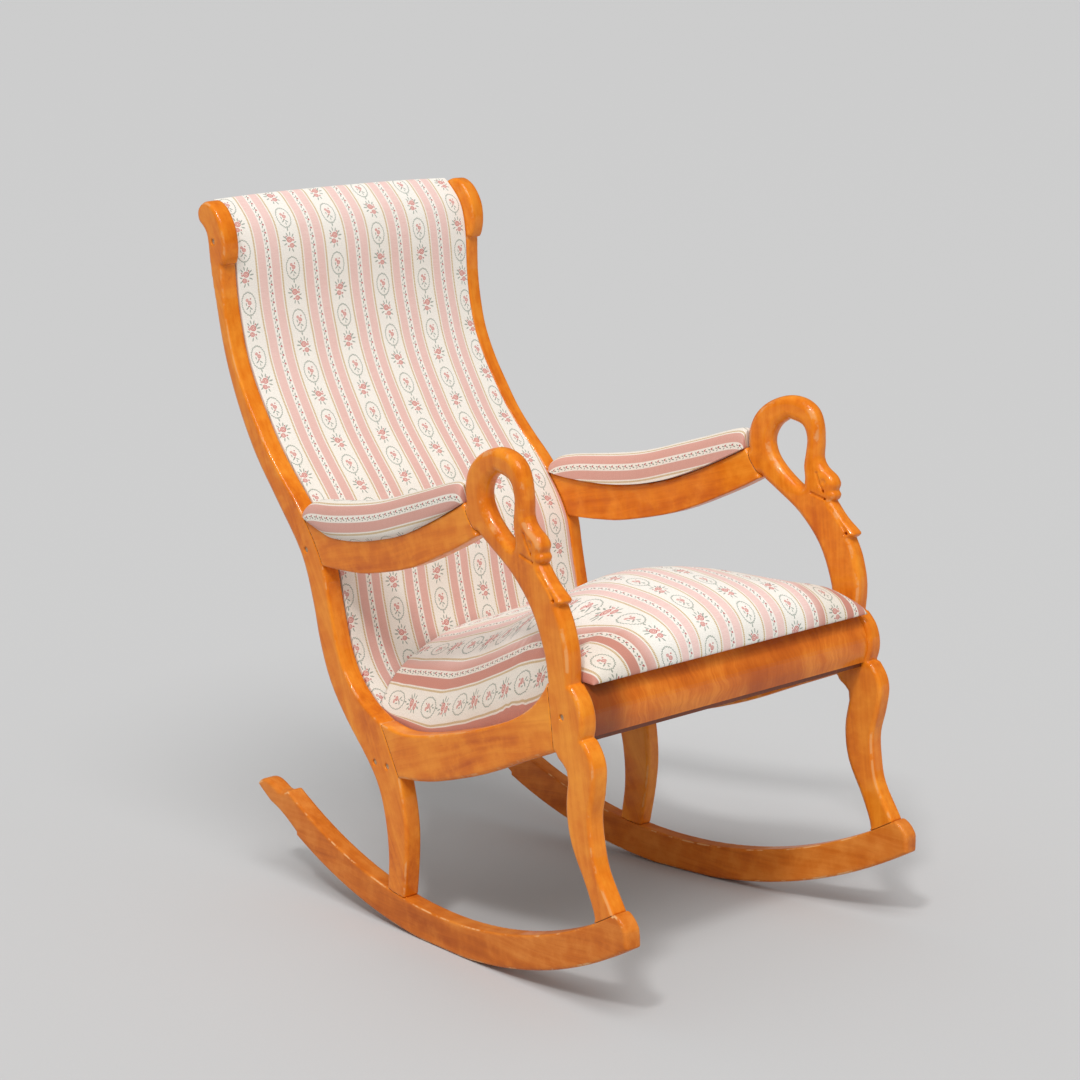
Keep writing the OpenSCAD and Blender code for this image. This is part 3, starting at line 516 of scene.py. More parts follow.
def striped_cloth(name):
    """Bands of motifs on cream between ropes, satin stripes and narrow bands with a vine."""
    s = Shader(name)
    u, v, _ = s.vector_attribute("cloth")
    u, v = u * 1000, v * 1000
    band = u / BAND_PITCH
    p = (band.fract() - 0.5) * BAND_PITCH
    away = abs(p)
    ragged = (s.noise(s.join(u, v), 0.9, 1, 0.5) - 0.5) * 1.2
    mottle = s.streaks((u, v), (0.35, 0.9), 2, 0.6)
    slub = s.streaks((u, v), (0.05, 1.6), 2, 0.5)
    ground = s.mix(mottle.step(0.40, 0.72) * 0.8, CREAM, CREAM_SHADE)
    # The "deep" attribute darkens the satin pink and, through the soil mask, the whole cloth: painted
    # shade on the seat's side walls and arm pads, darker towards the back's foot
    deep = s.attribute("deep")
    satin = s.mix(deep, s.mix(slub.step(0.35, 0.70), PINK, PINK_SHADE), PINK_IN_PAINTED_SHADE)
    colour = motifs(s, ground, p, v, band, ragged)
    outside = away.step(GROUND_HALF - EDGE_SOFTNESS, GROUND_HALF + EDGE_SOFTNESS)
    colour = s.mix(outside, colour, ground)
    dots = (v * (2 * math.pi / DOT_PITCH)).sine().step(-0.8, 0.3) * 0.75 + 0.25
    rope = away.step(GROUND_HALF - 0.3, GROUND_HALF + 0.5) * away.step(ROPE_END + 0.3, ROPE_END - 0.5)
    colour = s.mix(rope * dots, colour, ROPE)
    pink = between(away, MARGIN_END, PINK_END)
    colour = s.mix(pink, colour, satin)
    seam = (band + 0.5).fract() - 0.5
    colour = vine(s, colour, seam * BAND_PITCH, v)
    colour = soiled_and_shaded_tones(s, colour, u, v, deep)
    turns = 2 * math.pi / WEAVE_PITCH
    weave = (u * turns).sine() * (v * turns).sine()
    s.bump(weave * 0.5 + pink * 0.35 + slub * 0.5, CLOTH_BUMP, 0.7)
    return s.finish(colour, pink * -0.12 + 0.82, Sheen_Weight=0.25, Sheen_Roughness=0.35,
                    Specular_IOR_Level=0.3)


# Meshes

def make_object(name, points, faces, smooth=True):
    """A mesh object from arrays of points and of faces that all have the same number of corners."""
    mesh = bpy.data.meshes.new(name)
    faces = np.asarray(faces)
    corners = faces.shape[1]
    mesh.vertices.add(len(points))
    mesh.vertices.foreach_set("co", np.asarray(points, np.float32).ravel())
    mesh.loops.add(faces.size)
    mesh.loops.foreach_set("vertex_index", faces.ravel().astype(np.int32))
    mesh.polygons.add(len(faces))
    mesh.polygons.foreach_set("loop_start", np.arange(0, faces.size, corners, dtype=np.int32))
    mesh.polygons.foreach_set("use_smooth", np.full(len(faces), smooth))
    mesh.update(calc_edges=True)
    mesh.validate()
    return placed(name, mesh)


def mesh_points(mesh):
    points = np.empty(len(mesh.vertices) * 3)
    mesh.vertices.foreach_get("co", points)
    return points.reshape(-1, 3)


def set_attribute(piece, name, values):
    """Stores a number or a vector for each point of a piece."""
    values = np.asarray(values, np.float32)
    kind = "FLOAT_VECTOR" if values.ndim == 2 else "FLOAT"
    field = "vector" if values.ndim == 2 else "value"
    attribute = piece.data.attributes.new(name, kind, "POINT")
    attribute.data.foreach_set(field, values.ravel())


def finish_piece(piece, material, slot, *nodes):
    """Gives a piece its material, and lets it stand for CAD nodes."""
    piece.data.materials.clear()
    piece.data.materials.append(material)
    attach(piece, "root")
    if nodes:
        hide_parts(*nodes)
    return piece


def node_points(name):
    return mesh_points(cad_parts[name].data)


def node_triangles(name):
    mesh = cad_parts[name].data
    mesh.calc_loop_triangles()
    triangles = np.empty(len(mesh.loop_triangles) * 3, np.int32)
    mesh.loop_triangles.foreach_get("vertices", triangles)
    return triangles.reshape(-1, 3)


# Side frames: a plank's own coordinates are depth from its outer face, run and height

def side_turn():
    """Turns a plank's coordinates to the toe-in and the lean of the right-hand frame."""
    c, s = math.cos(-TOE_IN), math.sin(-TOE_IN)
    turn_z = np.array([[c, -s, 0], [s, c, 0], [0, 0, 1]])
    c, s = math.cos(-LEAN), math.sin(-LEAN)
    turn_y = np.array([[c, 0, s], [0, 1, 0], [-s, 0, c]])
    return turn_z @ turn_y


SIDE_TURN = side_turn()
SIDE_PLACE = np.array([-TRACK_W / 2, -ORIGIN_Y, 0])

# Tolerances in metres: two points as one, a point on a face, and a length that can't be none
SAME_POINT = 1e-5
ON_FACE = 5e-5
TINY = 1e-12


def to_plank(points):
    """Places in the right-hand side frame, in its planks' own coordinates."""
    return (points - SIDE_PLACE) @ SIDE_TURN


def from_plank(points, side):
    """Places in the chair for a plank's own coordinates, mirrored for the left-hand side."""
    return (points @ SIDE_TURN.T + SIDE_PLACE) * (side, 1, 1)


def face_edges(name):
    """Edges of a plank's outer face as (n, 2, 2) run and height, without the screws' holes."""
    points = to_plank(node_points(name))
    triangles = node_triangles(name)
    flat = np.all(np.abs(points[triangles, 0]) < ON_FACE, axis=1)
    keys = np.round(points[:, 1:] / SAME_POINT).astype(np.int64)
    edges = {}
    for triangle in triangles[flat]:
        for a, b in zip(triangle, np.roll(triangle, -1)):
            ends = (tuple(keys[a]), tuple(keys[b]))
            edges[ends] = (points[a, 1:], points[b, 1:])
    free = np.array([e for k, e in edges.items() if k[::-1] not in edges and k[0] != k[1]])
    centres = np.array(SCREW_PLACES) * SQUARE
    gap = np.linalg.norm(free.mean(axis=1)[:, None] - centres[None], axis=2).min(axis=1)
    return free[gap > 2 * SCREW_HEAD_R]


def inside_edges(points, edges):
    """Which of the points lie inside the closed outlines that the edges form."""
    inside = np.zeros(len(points), bool)
    for (s0, h0), (s1, h1) in edges:
        crosses = (h0 <= points[:, 1]) != (h1 <= points[:, 1])
        if crosses.any():
            at = s0 + (points[crosses, 1] - h0) * (s1 - s0) / (h1 - h0)
            inside[crosses] ^= points[crosses, 0] < at
    return inside


def segment_gap(grid_s, grid_h, start, end):
    """Distance of each place of a grid to a straight piece of line."""
    run = end - start
    ds, dh = grid_s[:, None] - start[0], grid_h[None] - start[1]
    share = np.clip((ds * run[0] + dh * run[1]) / max(run @ run, TINY * TINY), 0, 1)
    return np.hypot(ds - share * run[0], dh - share * run[1])


def edge_distance(grid_s, grid_h, edges, values):
    """Least distance to the edges on a grid, up to a limit, and the value at the nearest edge."""
    distance = np.full((len(grid_s), len(grid_h)), EDGE_REACH)
    nearest = np.full(distance.shape, float(np.median(values)))
    for (start, end), value in zip(edges, values):
        low, high = np.minimum(start, end) - EDGE_REACH, np.maximum(start, end) + EDGE_REACH
        window = tuple(slice(*np.searchsorted(grid, (low[k], high[k])))
                       for k, grid in enumerate((grid_s, grid_h)))
        gap = segment_gap(grid_s[window[0]], grid_h[window[1]], start, end)
        closer = gap < distance[window]
        distance[window][closer] = gap[closer]
        nearest[window][closer] = value
    return distance, nearest


def signed(distance, grid_s, grid_h, outlines):
    """Distances that turn negative outside all of the outlines."""
    s, h = np.meshgrid(grid_s, grid_h, indexing="ij")
    spots = np.column_stack((s.ravel(), h.ravel()))
    inside = np.any([inside_edges(spots, outline) for outline in outlines], axis=0)
    return np.where(inside.reshape(distance.shape), distance, -distance)


# Radii to which each plank's edges are rounded, in mm. They are listed by a place along the
# run ("s") or up the height ("h") in squares, then for the edges that face the given way,
# and for those that face the opposite way.
ROUNDING = {
    "rear_stile": ((-1, 0.35), "h", ((8, 6, 5), (26, 8, 5), (36, 13, 4), (90, 13, 4), (97, 6, 6),
                                     (106, 6, 6))),
    "front_leg": ((-1, 0), "h", ((10, 9, 6), (38, 9, 6), (42, 6, 6), (47, 7, 7), (50, 10, 8),
                                 (58, 11, 9), (63, 11, 12), (70, 13, 13), (78, 13, 13))),
    "side_rail": ((0, 1), "s", ((-30, 7, 4), (12, 7, 4))),
    "arm_rail": ((0, 1), "s", ((-15, 2, 6), (30, 2, 6))),
    "rocker": ((0, 1), "s", ((-43, 6, 6), (-39, 5, 3), (36, 5, 3), (40, 7, 7), (46, 7, 7))),
}
GRAIN_WAYS = {"rear_stile": (0.42, 0.91), "front_leg": (0.12, 0.99), "side_rail": (-0.94, 0.33),
              "arm_rail": (-0.96, 0.28), "rocker": (1, 0)}
PLANKS = tuple(ROUNDING)
GRAIN_SHIFT = 0.37
OTHER_SIDE_SHIFT = 0.9
GRID_STEP = 2 * MM
FINE_GRID_STEP = 1.5 * MM
EDGE_REACH = 20 * MM
JOINT_RADIUS = 0.7 * MM
JOINT_FADE = 3 * MM
TOUCHING = 0.15 * MM
MARGIN_STEPS = 4
DEPTH_MARGIN_STEPS = 3
DEPTH_OFFSET = 0.3


def edge_radii(plank, edges):
    """Radius to which each edge is rounded, by its place and by the way it faces."""
    way, axis, rows = ROUNDING[plank]
    rows = np.array(rows, float)
    middle = edges.mean(axis=1) / SQUARE
    place = middle[:, 0 if axis == "s" else 1]
    run = edges[:, 1] - edges[:, 0]
    normal = np.column_stack((run[:, 1], -run[:, 0]))
    normal /= np.maximum(np.linalg.norm(normal, axis=1, keepdims=True), TINY)
    facing = normal @ (np.array(way) / np.hypot(*way))
    share = np.clip(facing * 2, -1, 1) * 0.5 + 0.5
    towards = np.interp(place, rows[:, 0], rows[:, 1])
    away = np.interp(place, rows[:, 0], rows[:, 2])
    return (share * towards + (1 - share) * away) * MM


def free_edges(outlines):
    """Edges of all planks of a side that no other plank lies against."""
    kept, radii = [], []
    for plank, edges in outlines.items():
        radius = edge_radii(plank, edges)
        middle = edges.mean(axis=1)
        touching = np.zeros(len(edges), bool)
        for other, others in outlines.items():
            if other != plank:
                touching |= point_gap(middle, others) < TOUCHING
        kept.append(edges[~touching])
        radii.append(radius[~touching])
    return np.concatenate(kept), np.concatenate(radii)


def point_gap(points, edges):
    """Distance of each point to the nearest of the edges."""
    start, run = edges[:, 0], edges[:, 1] - edges[:, 0]
    offset = points[:, None] - start[None]
    share = np.clip((offset * run).sum(2) / np.maximum((run * run).sum(1), TINY * TINY), 0, 1)
    return np.linalg.norm(offset - share[:, :, None] * run, axis=2).min(axis=1)


def rounded_slab(depth, distance, radius):
    """Field of a slab as thick as the planks whose rim is rounded to the radius."""
    half = FRAME_T / 2
    a = (radius - distance)[None]
    b = np.abs(depth - half)[:, None, None] - (half - radius)[None]
    rim = np.hypot(np.maximum(a, 0), np.maximum(b, 0))
    return np.minimum(np.maximum(a, b), 0) + rim - radius[None]


def crossings(field, axis):
    """Grid edges along an axis on which the field changes sign: their lower ends, the places
    where it is 0, and whether it is negative at the lower end."""
    low, high = [slice(None)] * 3, [slice(None)] * 3
    low[axis], high[axis] = slice(None, -1), slice(1, None)
    first, second = field[tuple(low)], field[tuple(high)]
    where = np.argwhere((first < 0) != (second < 0))
    first, second = first[tuple(where.T)], second[tuple(where.T)]
    spot = where.astype(float)
    spot[:, axis] += first / (first - second)
    return where, spot, first < 0


def surface_nets(field):
    """Points in grid steps and quads of the surface where the field is 0, negative inside."""
    cell_shape = np.array(field.shape) - 1
    cell_count = int(np.prod(cell_shape))
    sums, counts = np.zeros((3, cell_count)), np.zeros(cell_count)
    rings = []
    for axis in range(3):
        where, spot, starts_inside = crossings(field, axis)
        ring = []
        for du, dv in ((-1, -1), (0, -1), (0, 0), (-1, 0)):
            cell = where.copy()
            cell[:, (axis + 1) % 3] += du
            cell[:, (axis + 2) % 3] += dv
            flat = np.ravel_multi_index(np.clip(cell, 0, cell_shape - 1).T, cell_shape)
            ring.append(flat)
            counts += np.bincount(flat, minlength=cell_count)
            for k in range(3):
                sums[k] += np.bincount(flat, weights=spot[:, k], minlength=cell_count)
        ring = np.stack(ring, axis=1)
        rings.append(np.where(starts_inside[:, None], ring, ring[:, ::-1]))
    used = np.flatnonzero(counts)
    index = np.full(cell_count, -1)
    index[used] = np.arange(len(used))
    return (sums[:, used] / counts[used]).T, index[np.concatenate(rings)]


def sample(field, points):
    """Values of a field at points in grid steps, by linear interpolation."""
    base = np.clip(np.floor(points).astype(int), 0, np.array(field.shape) - 2)
    share = points - base
    total = 0
    for corner in np.ndindex(*(2,) * field.ndim):
        weight = np.prod(np.where(corner, share, 1 - share), axis=1)
        total = total + weight * field[tuple((base + corner).T)]
    return total


def screw_holes(field, depth, grid_s, grid_h):
    """A slab with the holes in which the screws' heads sit cut into its outer face."""
    for s, h in np.array(SCREW_PLACES) * SQUARE:
        ring = np.hypot(grid_s[:, None] - s, grid_h[None] - h) - SCREW_HEAD_R
        hole = np.maximum(ring[None], (depth - SCREW_HEAD_DEPTH)[:, None, None])
        field = np.maximum(field, -hole)
    return field


# Cuts that draw the swan's head on a leg, as runs and heights in mm
SWAN_FACE_CUTS = (((-247.5, 642), (-240, 653), (-234, 668)),
                  ((-251, 630.5), (-241, 633), (-226, 637)),
                  ((-262, 618), (-270, 610), (-282, 598), (-290, 588), (-294, 583)))
SWAN_EDGE_CUTS = ((-247.5, 642), (-251, 630.5), (-291.5, 583))
SWAN_NOSTRIL = ((-257, 621), (-268, 609))
SWAN_NOSTRIL_DEPTHS = (8 * MM, 21 * MM)
SWAN_NOSTRIL_R = 1.84 * MM
SWAN_EYE = (-247, 656)
SWAN_EYE_R = 8 * MM
SWAN_EYE_LIFT = 6 * MM
SWAN_CUT_R = 2.3 * MM


def line_gap(grid_s, grid_h, line):
    """Least distance of each place of a grid to a line through places in mm."""
    line = np.array(line) * MM
    return np.min([segment_gap(grid_s, grid_h, *ends) for ends in zip(line[:-1], line[1:])], axis=0)


def spot_gap(grid_s, grid_h, spot):
    """Distance of each place of a grid to a place in mm."""
    return np.hypot(grid_s[:, None] - spot[0] * MM, grid_h[None] - spot[1] * MM)


def carve_swan(field, depth, grid_s, grid_h):
    """Cuts the head, collar, bill, mouth, nostrils and eye into both faces and the front edge."""
    deep = depth[:, None, None]
    for face, lift in ((0, -SWAN_EYE_LIFT), (FRAME_T, SWAN_EYE_LIFT)):
        for line in SWAN_FACE_CUTS:
            tube = np.hypot(line_gap(grid_s, grid_h, line)[None], deep - face)
            field = np.maximum(field, SWAN_CUT_R - tube)
        eye = np.hypot(spot_gap(grid_s, grid_h, SWAN_EYE)[None], deep - face - lift)
        field = np.maximum(field, SWAN_EYE_R - eye)
    for spot in SWAN_EDGE_CUTS:
        field = np.maximum(field, (SWAN_CUT_R - spot_gap(grid_s, grid_h, spot))[None])
    nostril = line_gap(grid_s, grid_h, SWAN_NOSTRIL)[None]
    for place in SWAN_NOSTRIL_DEPTHS:
        field = np.maximum(field, SWAN_NOSTRIL_R - np.hypot(nostril, deep - place))
    return field


def plank_surface(plank, outlines, free, radii):
    """Surface of one plank of the right-hand frame, with how near each point is to a joint and
    how far round the plank's rim it lies."""
    edges = outlines[plank]
    step = FINE_GRID_STEP if plank == "front_leg" else GRID_STEP
    low = edges.reshape(-1, 2).min(0) - MARGIN_STEPS * step
    high = edges.reshape(-1, 2).max(0) + MARGIN_STEPS * step
    grid = np.arange(low[0], high[0], step), np.arange(low[1], high[1], step)
    ends = (-DEPTH_MARGIN_STEPS * step, FRAME_T + DEPTH_MARGIN_STEPS * step)
    depth = np.arange(*ends, step) + DEPTH_OFFSET * step
    near, radius = edge_distance(*grid, free, radii)
    near = signed(near, *grid, outlines.values())
    own = signed(edge_distance(*grid, edges, np.zeros(len(edges)))[0], *grid, [edges])
    joint_radius = np.full(own.shape, JOINT_RADIUS)
    field = np.maximum(rounded_slab(depth, near, radius), rounded_slab(depth, own, joint_radius))
    if plank == "front_leg":
        field = carve_swan(field, depth, *grid)
    field = screw_holes(field, depth, *grid)
    points, quads = surface_nets(field)
    own, near, radius = (sample(values, points[:, 1:]) for values in (own, near, radius))
    joint = np.abs(own) + np.maximum(0, JOINT_FADE - np.abs(near))
    rim = np.clip((radius - near) / radius, 0, 1)
    return points * step + np.array((depth[0], *low)), quads, joint, rim


def grain_vectors(places, plank, side):
    """Places across the grain, into the plank and along the grain, shifted for each plank."""
    run, rise = GRAIN_WAYS[plank]
    along = places[:, 1:] @ np.array((run, rise))
    across = places[:, 1:] @ np.array((-rise, run))
    shift = GRAIN_SHIFT * PLANKS.index(plank) + (OTHER_SIDE_SHIFT if side < 0 else 0)
    return np.column_stack((across, places[:, 0], along)) + shift


def make_side_frames(material, worn_material):
    outlines = {plank: face_edges("right_" + plank) for plank in PLANKS}
    free, radii = free_edges(outlines)
    for plank in PLANKS:
        places, quads, joint, rim = plank_surface(plank, outlines, free, radii)
        for name, side in SIDES.items():
            node = f"{name}_{plank}"
            piece = make_object(node + "_wood", from_plank(places, side), quads[:, ::side])
            set_attribute(piece, "grain", grain_vectors(places, plank, side))
            set_attribute(piece, "joint", joint)
            set_attribute(piece, "rim", rim)
            finish_piece(piece, worn_material if plank == "rocker" else material, "frame_wood", node)


# Soft parts: each is a closed skin of two grids that share their rim

SOFT_GAP = 0.3 * MM
EDGE_SHARE = 0.9965
SEARCH_DROPS = (0, 0.02, 0.04, 0.06, 0.08, 0.1, 0.12)
RAY_LENGTH = 2
SEAT_COLUMNS = 64
BACK_COLUMNS = 56


def solid_tree(name):
    """A CAD node's triangles, for rays to meet."""
    corners = [tuple(p) for p in node_points(name)]
    return BVHTree.FromPolygons(corners, [tuple(t) for t in node_triangles(name)])


def half_clear(y, z):
    """Half the clear width between the side frames at a place of the chair's mid-plane."""
    middle = TRACK_W / 2 - (y + ORIGIN_Y) * math.tan(TOE_IN)
    return middle + (z * math.tan(LEAN) - FRAME_T / math.cos(LEAN)) / math.cos(TOE_IN)


def cast(tree, x, start, way):
    """Where a ray in the plane of that x meets the solid, as y and z, or None."""
    hit = tree.ray_cast(Vector((x, *start)), Vector((0, *way)), RAY_LENGTH)[0]
    return None if hit is None else (hit.y, hit.z)


def filled(column):
    """A column whose missing points take the place of the nearest one that was met."""
    met = [k for k, point in enumerate(column) if point is not None]
    return [column[min(met, key=lambda m: abs(m - k))] for k in range(len(column))]


def skin_point(tree, share, start, way, y, z):
    """Where a ray meets the solid at a share of the half width there, near a first guess."""
    found = None
    for drop in SEARCH_DROPS:
        hit = cast(tree, share * (half_clear(y, z - drop) - SOFT_GAP), start, way)
        if hit is not None:
            y, z = found = hit
            break
    for _ in range(2):
        hit = found and cast(tree, share * (half_clear(y, z) - SOFT_GAP), start, way)
        if hit:
            y, z = hit
    return (share * (half_clear(y, z) - SOFT_GAP), y, z) if found else None


def skin_column(tree, share, rays, guess):
    """Points where rays meet the solid at a share of the half width, one for each ray."""
    column = []
    for start, way in rays:
        y, z = column[-1][1:] if column and column[-1] else guess
        if abs(way[0]) < abs(way[1]):
            y = start[0] + way[0] * (z - start[1]) / way[1]
        column.append(skin_point(tree, share, start, way, y, z))
    return filled(column)


def shares_across(count):
    """Shares of the half width, from side to side, which lie closer together near the sides."""
    return EDGE_SHARE * np.sin(np.linspace(-math.pi / 2, math.pi / 2, count + 1))


def by_rows(columns):
    return np.swapaxes(np.array(columns), 0, 1)


def skin(top, floor):
    """Closed skin from two grids of points of the same shape; the first faces out."""
    points = np.concatenate((top.reshape(-1, 3), floor.reshape(-1, 3)))
    index = np.arange(top[..., 0].size).reshape(top.shape[:2])
    quads = np.stack((index[:-1, :-1], index[:-1, 1:], index[1:, 1:], index[1:, :-1]), axis=2)
    quads = quads.reshape(-1, 4)
    rim = np.concatenate((index[0, :-1], index[:-1, -1], index[-1, :0:-1], index[:0:-1, 0]))
    after = np.roll(rim, -1)
    walls = np.column_stack((after, rim, rim + index.size, after + index.size))
    return points, np.concatenate((quads, quads[:, ::-1] + index.size, walls))


def arc_across(grid):
    """Length along each row of a grid, from the row's middle."""
    steps = np.linalg.norm(np.diff(grid, axis=1), axis=2)
    length = np.concatenate((np.zeros((len(grid), 1)), np.cumsum(steps, axis=1)), axis=1)
    middle = grid.shape[1] // 2
    return length - length[:, middle:middle + 1]


def arc_along(line):
    """Length along a line of points, from its first one."""
    steps = np.linalg.norm(np.diff(line, axis=0), axis=1)
    return np.concatenate(([0], np.cumsum(steps)))


def smoothed(grid, times):
    """A grid whose points inside the rim move to the mean of their neighbours."""
    for _ in range(times):
        mean = (grid[:-2, 1:-1] + grid[2:, 1:-1] + grid[1:-1, :-2] + grid[1:-1, 2:]) / 4
        grid[1:-1, 1:-1] = 0.5 * grid[1:-1, 1:-1] + 0.5 * mean
    return grid


# The seat's surface is met by rays that fan round a place in the cushion's front and then fall
# straight down. All places are y and z in metres.
SEAT_FAN_PIVOT = (-0.325, 0.4)
SEAT_FAN_START = math.radians(46)
SEAT_FAN_RAYS = 22
SEAT_FAN_BACK_OFF = 0.3
SEAT_FLAT_RAYS = 67
SEAT_GUESS_Z = 0.48
SEAT_FLOOR_GUESS_Z = 0.47
SEAT_FLOOR_REAR = 0.079
SEAT_FLOOR_INSET = 1 * MM
ABOVE_SEAT = 0.9
BELOW_SEAT = 0.2
SEAT_REAR_PLACE = (0.1, 0.36)
SEAT_REAR_HEIGHTS = (0.31, 0.44)
SEAT_REAR_RAYS = 27
SEAT_REAR_START = 0.4
SEAT_REAR_INSET = 0.5 * MM


def seat_rear(tree, share):
    """How far back the cushion reaches at a share of its half width."""
    x = share * half_clear(*SEAT_REAR_PLACE)
    ends = [cast(tree, x, (SEAT_REAR_START, z), (-1, 0))
            for z in np.linspace(*SEAT_REAR_HEIGHTS, SEAT_REAR_RAYS)]
    return max(end[0] for end in ends if end is not None) - SEAT_REAR_INSET


def seat_rays(rear):
    """Rays that meet the seat's front in a fan, and its top from above."""
    y0, z0 = SEAT_FAN_PIVOT
    rays = []
    for turn in np.linspace(SEAT_FAN_START, math.pi / 2, SEAT_FAN_RAYS):
        way = (math.cos(turn), -math.sin(turn))
        rays.append(((y0 - SEAT_FAN_BACK_OFF * way[0], z0 - SEAT_FAN_BACK_OFF * way[1]), way))
    flat = np.linspace(y0, rear, SEAT_FLAT_RAYS + 1)[1:]
    return rays + [((y, ABOVE_SEAT), (0, -1)) for y in flat]


def seat_grids():
    """Top and floor of the seat cushion as grids, from the front to the rear."""
    tree = solid_tree("seat_cushion")
    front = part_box("seat_cushion")[0].y
    top, floor = [], []
    for share in shares_across(SEAT_COLUMNS):
        column = skin_column(tree, share, seat_rays(seat_rear(tree, share)), (front, SEAT_GUESS_Z))
        arcs = arc_along(np.array(column))
        places = front + SEAT_FLOOR_INSET + (SEAT_FLOOR_REAR - front) * arcs / arcs[-1]
        below = [((y, BELOW_SEAT), (0, 1)) for y in places]
        floor.append(skin_column(tree, share, below, (front, SEAT_FLOOR_GUESS_Z)))
        top.append(column)
    return by_rows(top), by_rows(floor)


def section_steps(points, triangles, keys, place):
    """Each point of a plane's cut through a solid, by its edge's key, and the points beside it."""
    steps = {}
    side = points[:, 1] < place
    for triangle in triangles[side[triangles].any(1) & (~side[triangles]).any(1)]:
        ends = []
        for a, b in zip(triangle, np.roll(triangle, -1)):
            if side[a] != side[b]:
                share = (place - points[a, 1]) / (points[b, 1] - points[a, 1])
                met = points[a] + share * (points[b] - points[a])
                ends.append((tuple(sorted((keys[a], keys[b]))), met))
        for (key, met), (other, _) in (ends, ends[::-1]):
            steps.setdefault(key, (met, []))[1].append(other)
    return steps


def walked(steps):
    """The points of a cut in their order round it."""
    start = next(iter(steps))
    line, last, now = [], None, start
    while True:
        line.append(steps[now][0])
        ahead = [key for key in steps[now][1] if key != last]
        last, now = now, (ahead[0] if ahead else start)
        if now == start or len(line) > len(steps):
            return np.array(line)


def plane_sections(points, triangles, places):
    """Loops in which planes that hold the second coordinate at each place cut a solid."""
    rounded = np.round(points / SAME_POINT).astype(np.int64)
    keys = np.unique(rounded, axis=0, return_inverse=True)[1].ravel()
    return [walked(section_steps(points, triangles, keys, place)) for place in places]


def middle_section(name):
    """Closed line in which the plane x = 0 cuts a node, as y and z."""
    points = node_points(name)[:, [1, 0, 2]]
    return plane_sections(points, node_triangles(name), (0,))[0][:, [0, 2]]


def resample(line, count):
    """Points at even lengths along a line."""
    arcs = arc_along(line)
    at = np.linspace(0, arcs[-1], count)
    return np.column_stack([np.interp(at, arcs, line[:, k]) for k in range(line.shape[1])])


def from_point(loop, index):
    """A closed loop that starts at another of its points."""
    return np.roll(loop, -index, axis=0)


def turned(loop):
    """A closed loop from the same start, the other way round."""
    return np.concatenate((loop[:1], loop[:0:-1]))


def halves(loop, index, count):
    """The two lines that lead from a loop's first point to another one, with even steps."""
    other = np.concatenate((loop[index:], loop[:1]))[::-1]
    return resample(loop[:index + 1], count), resample(other, count)


def line_normals(line, smoothing=0):
    """Ways out of a line of points, to the left of its run, evened over neighbours."""
    run = np.gradient(line, axis=0)
    for _ in range(smoothing):
        run[1:-1] = (run[:-2] + run[1:-1] + run[2:]) / 3
    run /= np.linalg.norm(run, axis=1, keepdims=True)
    return np.column_stack((-run[:, 1], run[:, 0]))


BACK_ROWS = 130
ROLL_END = (0.4565, 1.0043)
NORMAL_SMOOTHING = 6
BACK_RAY_START = 0.05


def back_sides():
    """Outer and inner line of the back's middle section, from the foot over the roll."""
    line = middle_section("back_cushion")
    line = from_point(line, np.argmin(line[:, 1]))
    after = from_point(line, 1)
    if np.sum(line[:, 0] * after[:, 1] - line[:, 1] * after[:, 0]) > 0:
        line = turned(line)
    tip = np.argmin(np.hypot(*(line - ROLL_END).T)) + 1
    inner = np.concatenate((line[tip:], line[:1]))[::-1]
    return resample(line[:tip], BACK_ROWS), resample(inner, BACK_ROWS)


def back_grids():
    """Outer and inner face of the back cushion as grids, from the foot over the roll."""
    tree = solid_tree("back_cushion")
    outer, inner = back_sides()
    normals = line_normals(outer, NORMAL_SMOOTHING)
    rays = [(tuple(p + BACK_RAY_START * n), tuple(-n)) for p, n in zip(outer, normals)]
    top, floor = [], []
    for share in shares_across(BACK_COLUMNS):
        top.append(skin_column(tree, share, rays, tuple(outer[0])))
        floor.append([(share * (half_clear(y, z) - SOFT_GAP), y, z) for y, z in inner])
    return by_rows(top), by_rows(floor)


HELD = "held"
CLOTH_STIFFNESS = 15
SHEAR_STIFFNESS = 5
BENDING_STIFFNESS = 0.5
CLOTH_QUALITY = 5
CLOTH_FRAMES = 20


def add_cloth(piece, pressure):
    """Cloth that swells under the pressure and is held where the group says so."""
    cloth = piece.modifiers.new("cloth", "CLOTH")
    settings = cloth.settings
    settings.vertex_group_mass = HELD
    settings.use_pressure = True
    settings.uniform_pressure_force = pressure
    settings.effector_weights.gravity = 0
    settings.tension_stiffness = CLOTH_STIFFNESS
    settings.compression_stiffness = CLOTH_STIFFNESS
    settings.shear_stiffness = SHEAR_STIFFNESS
    settings.bending_stiffness = BENDING_STIFFNESS
    settings.quality = CLOTH_QUALITY
    cloth.point_cache.frame_start = 1
    cloth.point_cache.frame_end = CLOTH_FRAMES
    return cloth


def pin_and_inflate(piece, hold, pressure, cap):
    """Lets the cloth of a closed piece swell and settle, and moves no point further than the cap."""
    rest = mesh_points(piece.data)
    group = piece.vertex_groups.new(name=HELD)
    group.add(np.flatnonzero(hold).tolist(), 1.0, "REPLACE")
    cloth = add_cloth(piece, pressure)
    scene = bpy.context.scene
    for number in range(1, CLOTH_FRAMES + 1):
        scene.frame_set(number)
    graph = bpy.context.evaluated_depsgraph_get()
    step = mesh_points(piece.evaluated_get(graph).data) - rest
    length = np.linalg.norm(step, axis=1, keepdims=True)
    step *= np.minimum(1, cap / np.maximum(length, TINY))
    piece.modifiers.remove(cloth)
    piece.vertex_groups.remove(group)
    piece.data.vertices.foreach_set("co", (rest + step).ravel())
    piece.data.update()
    scene.frame_set(1)


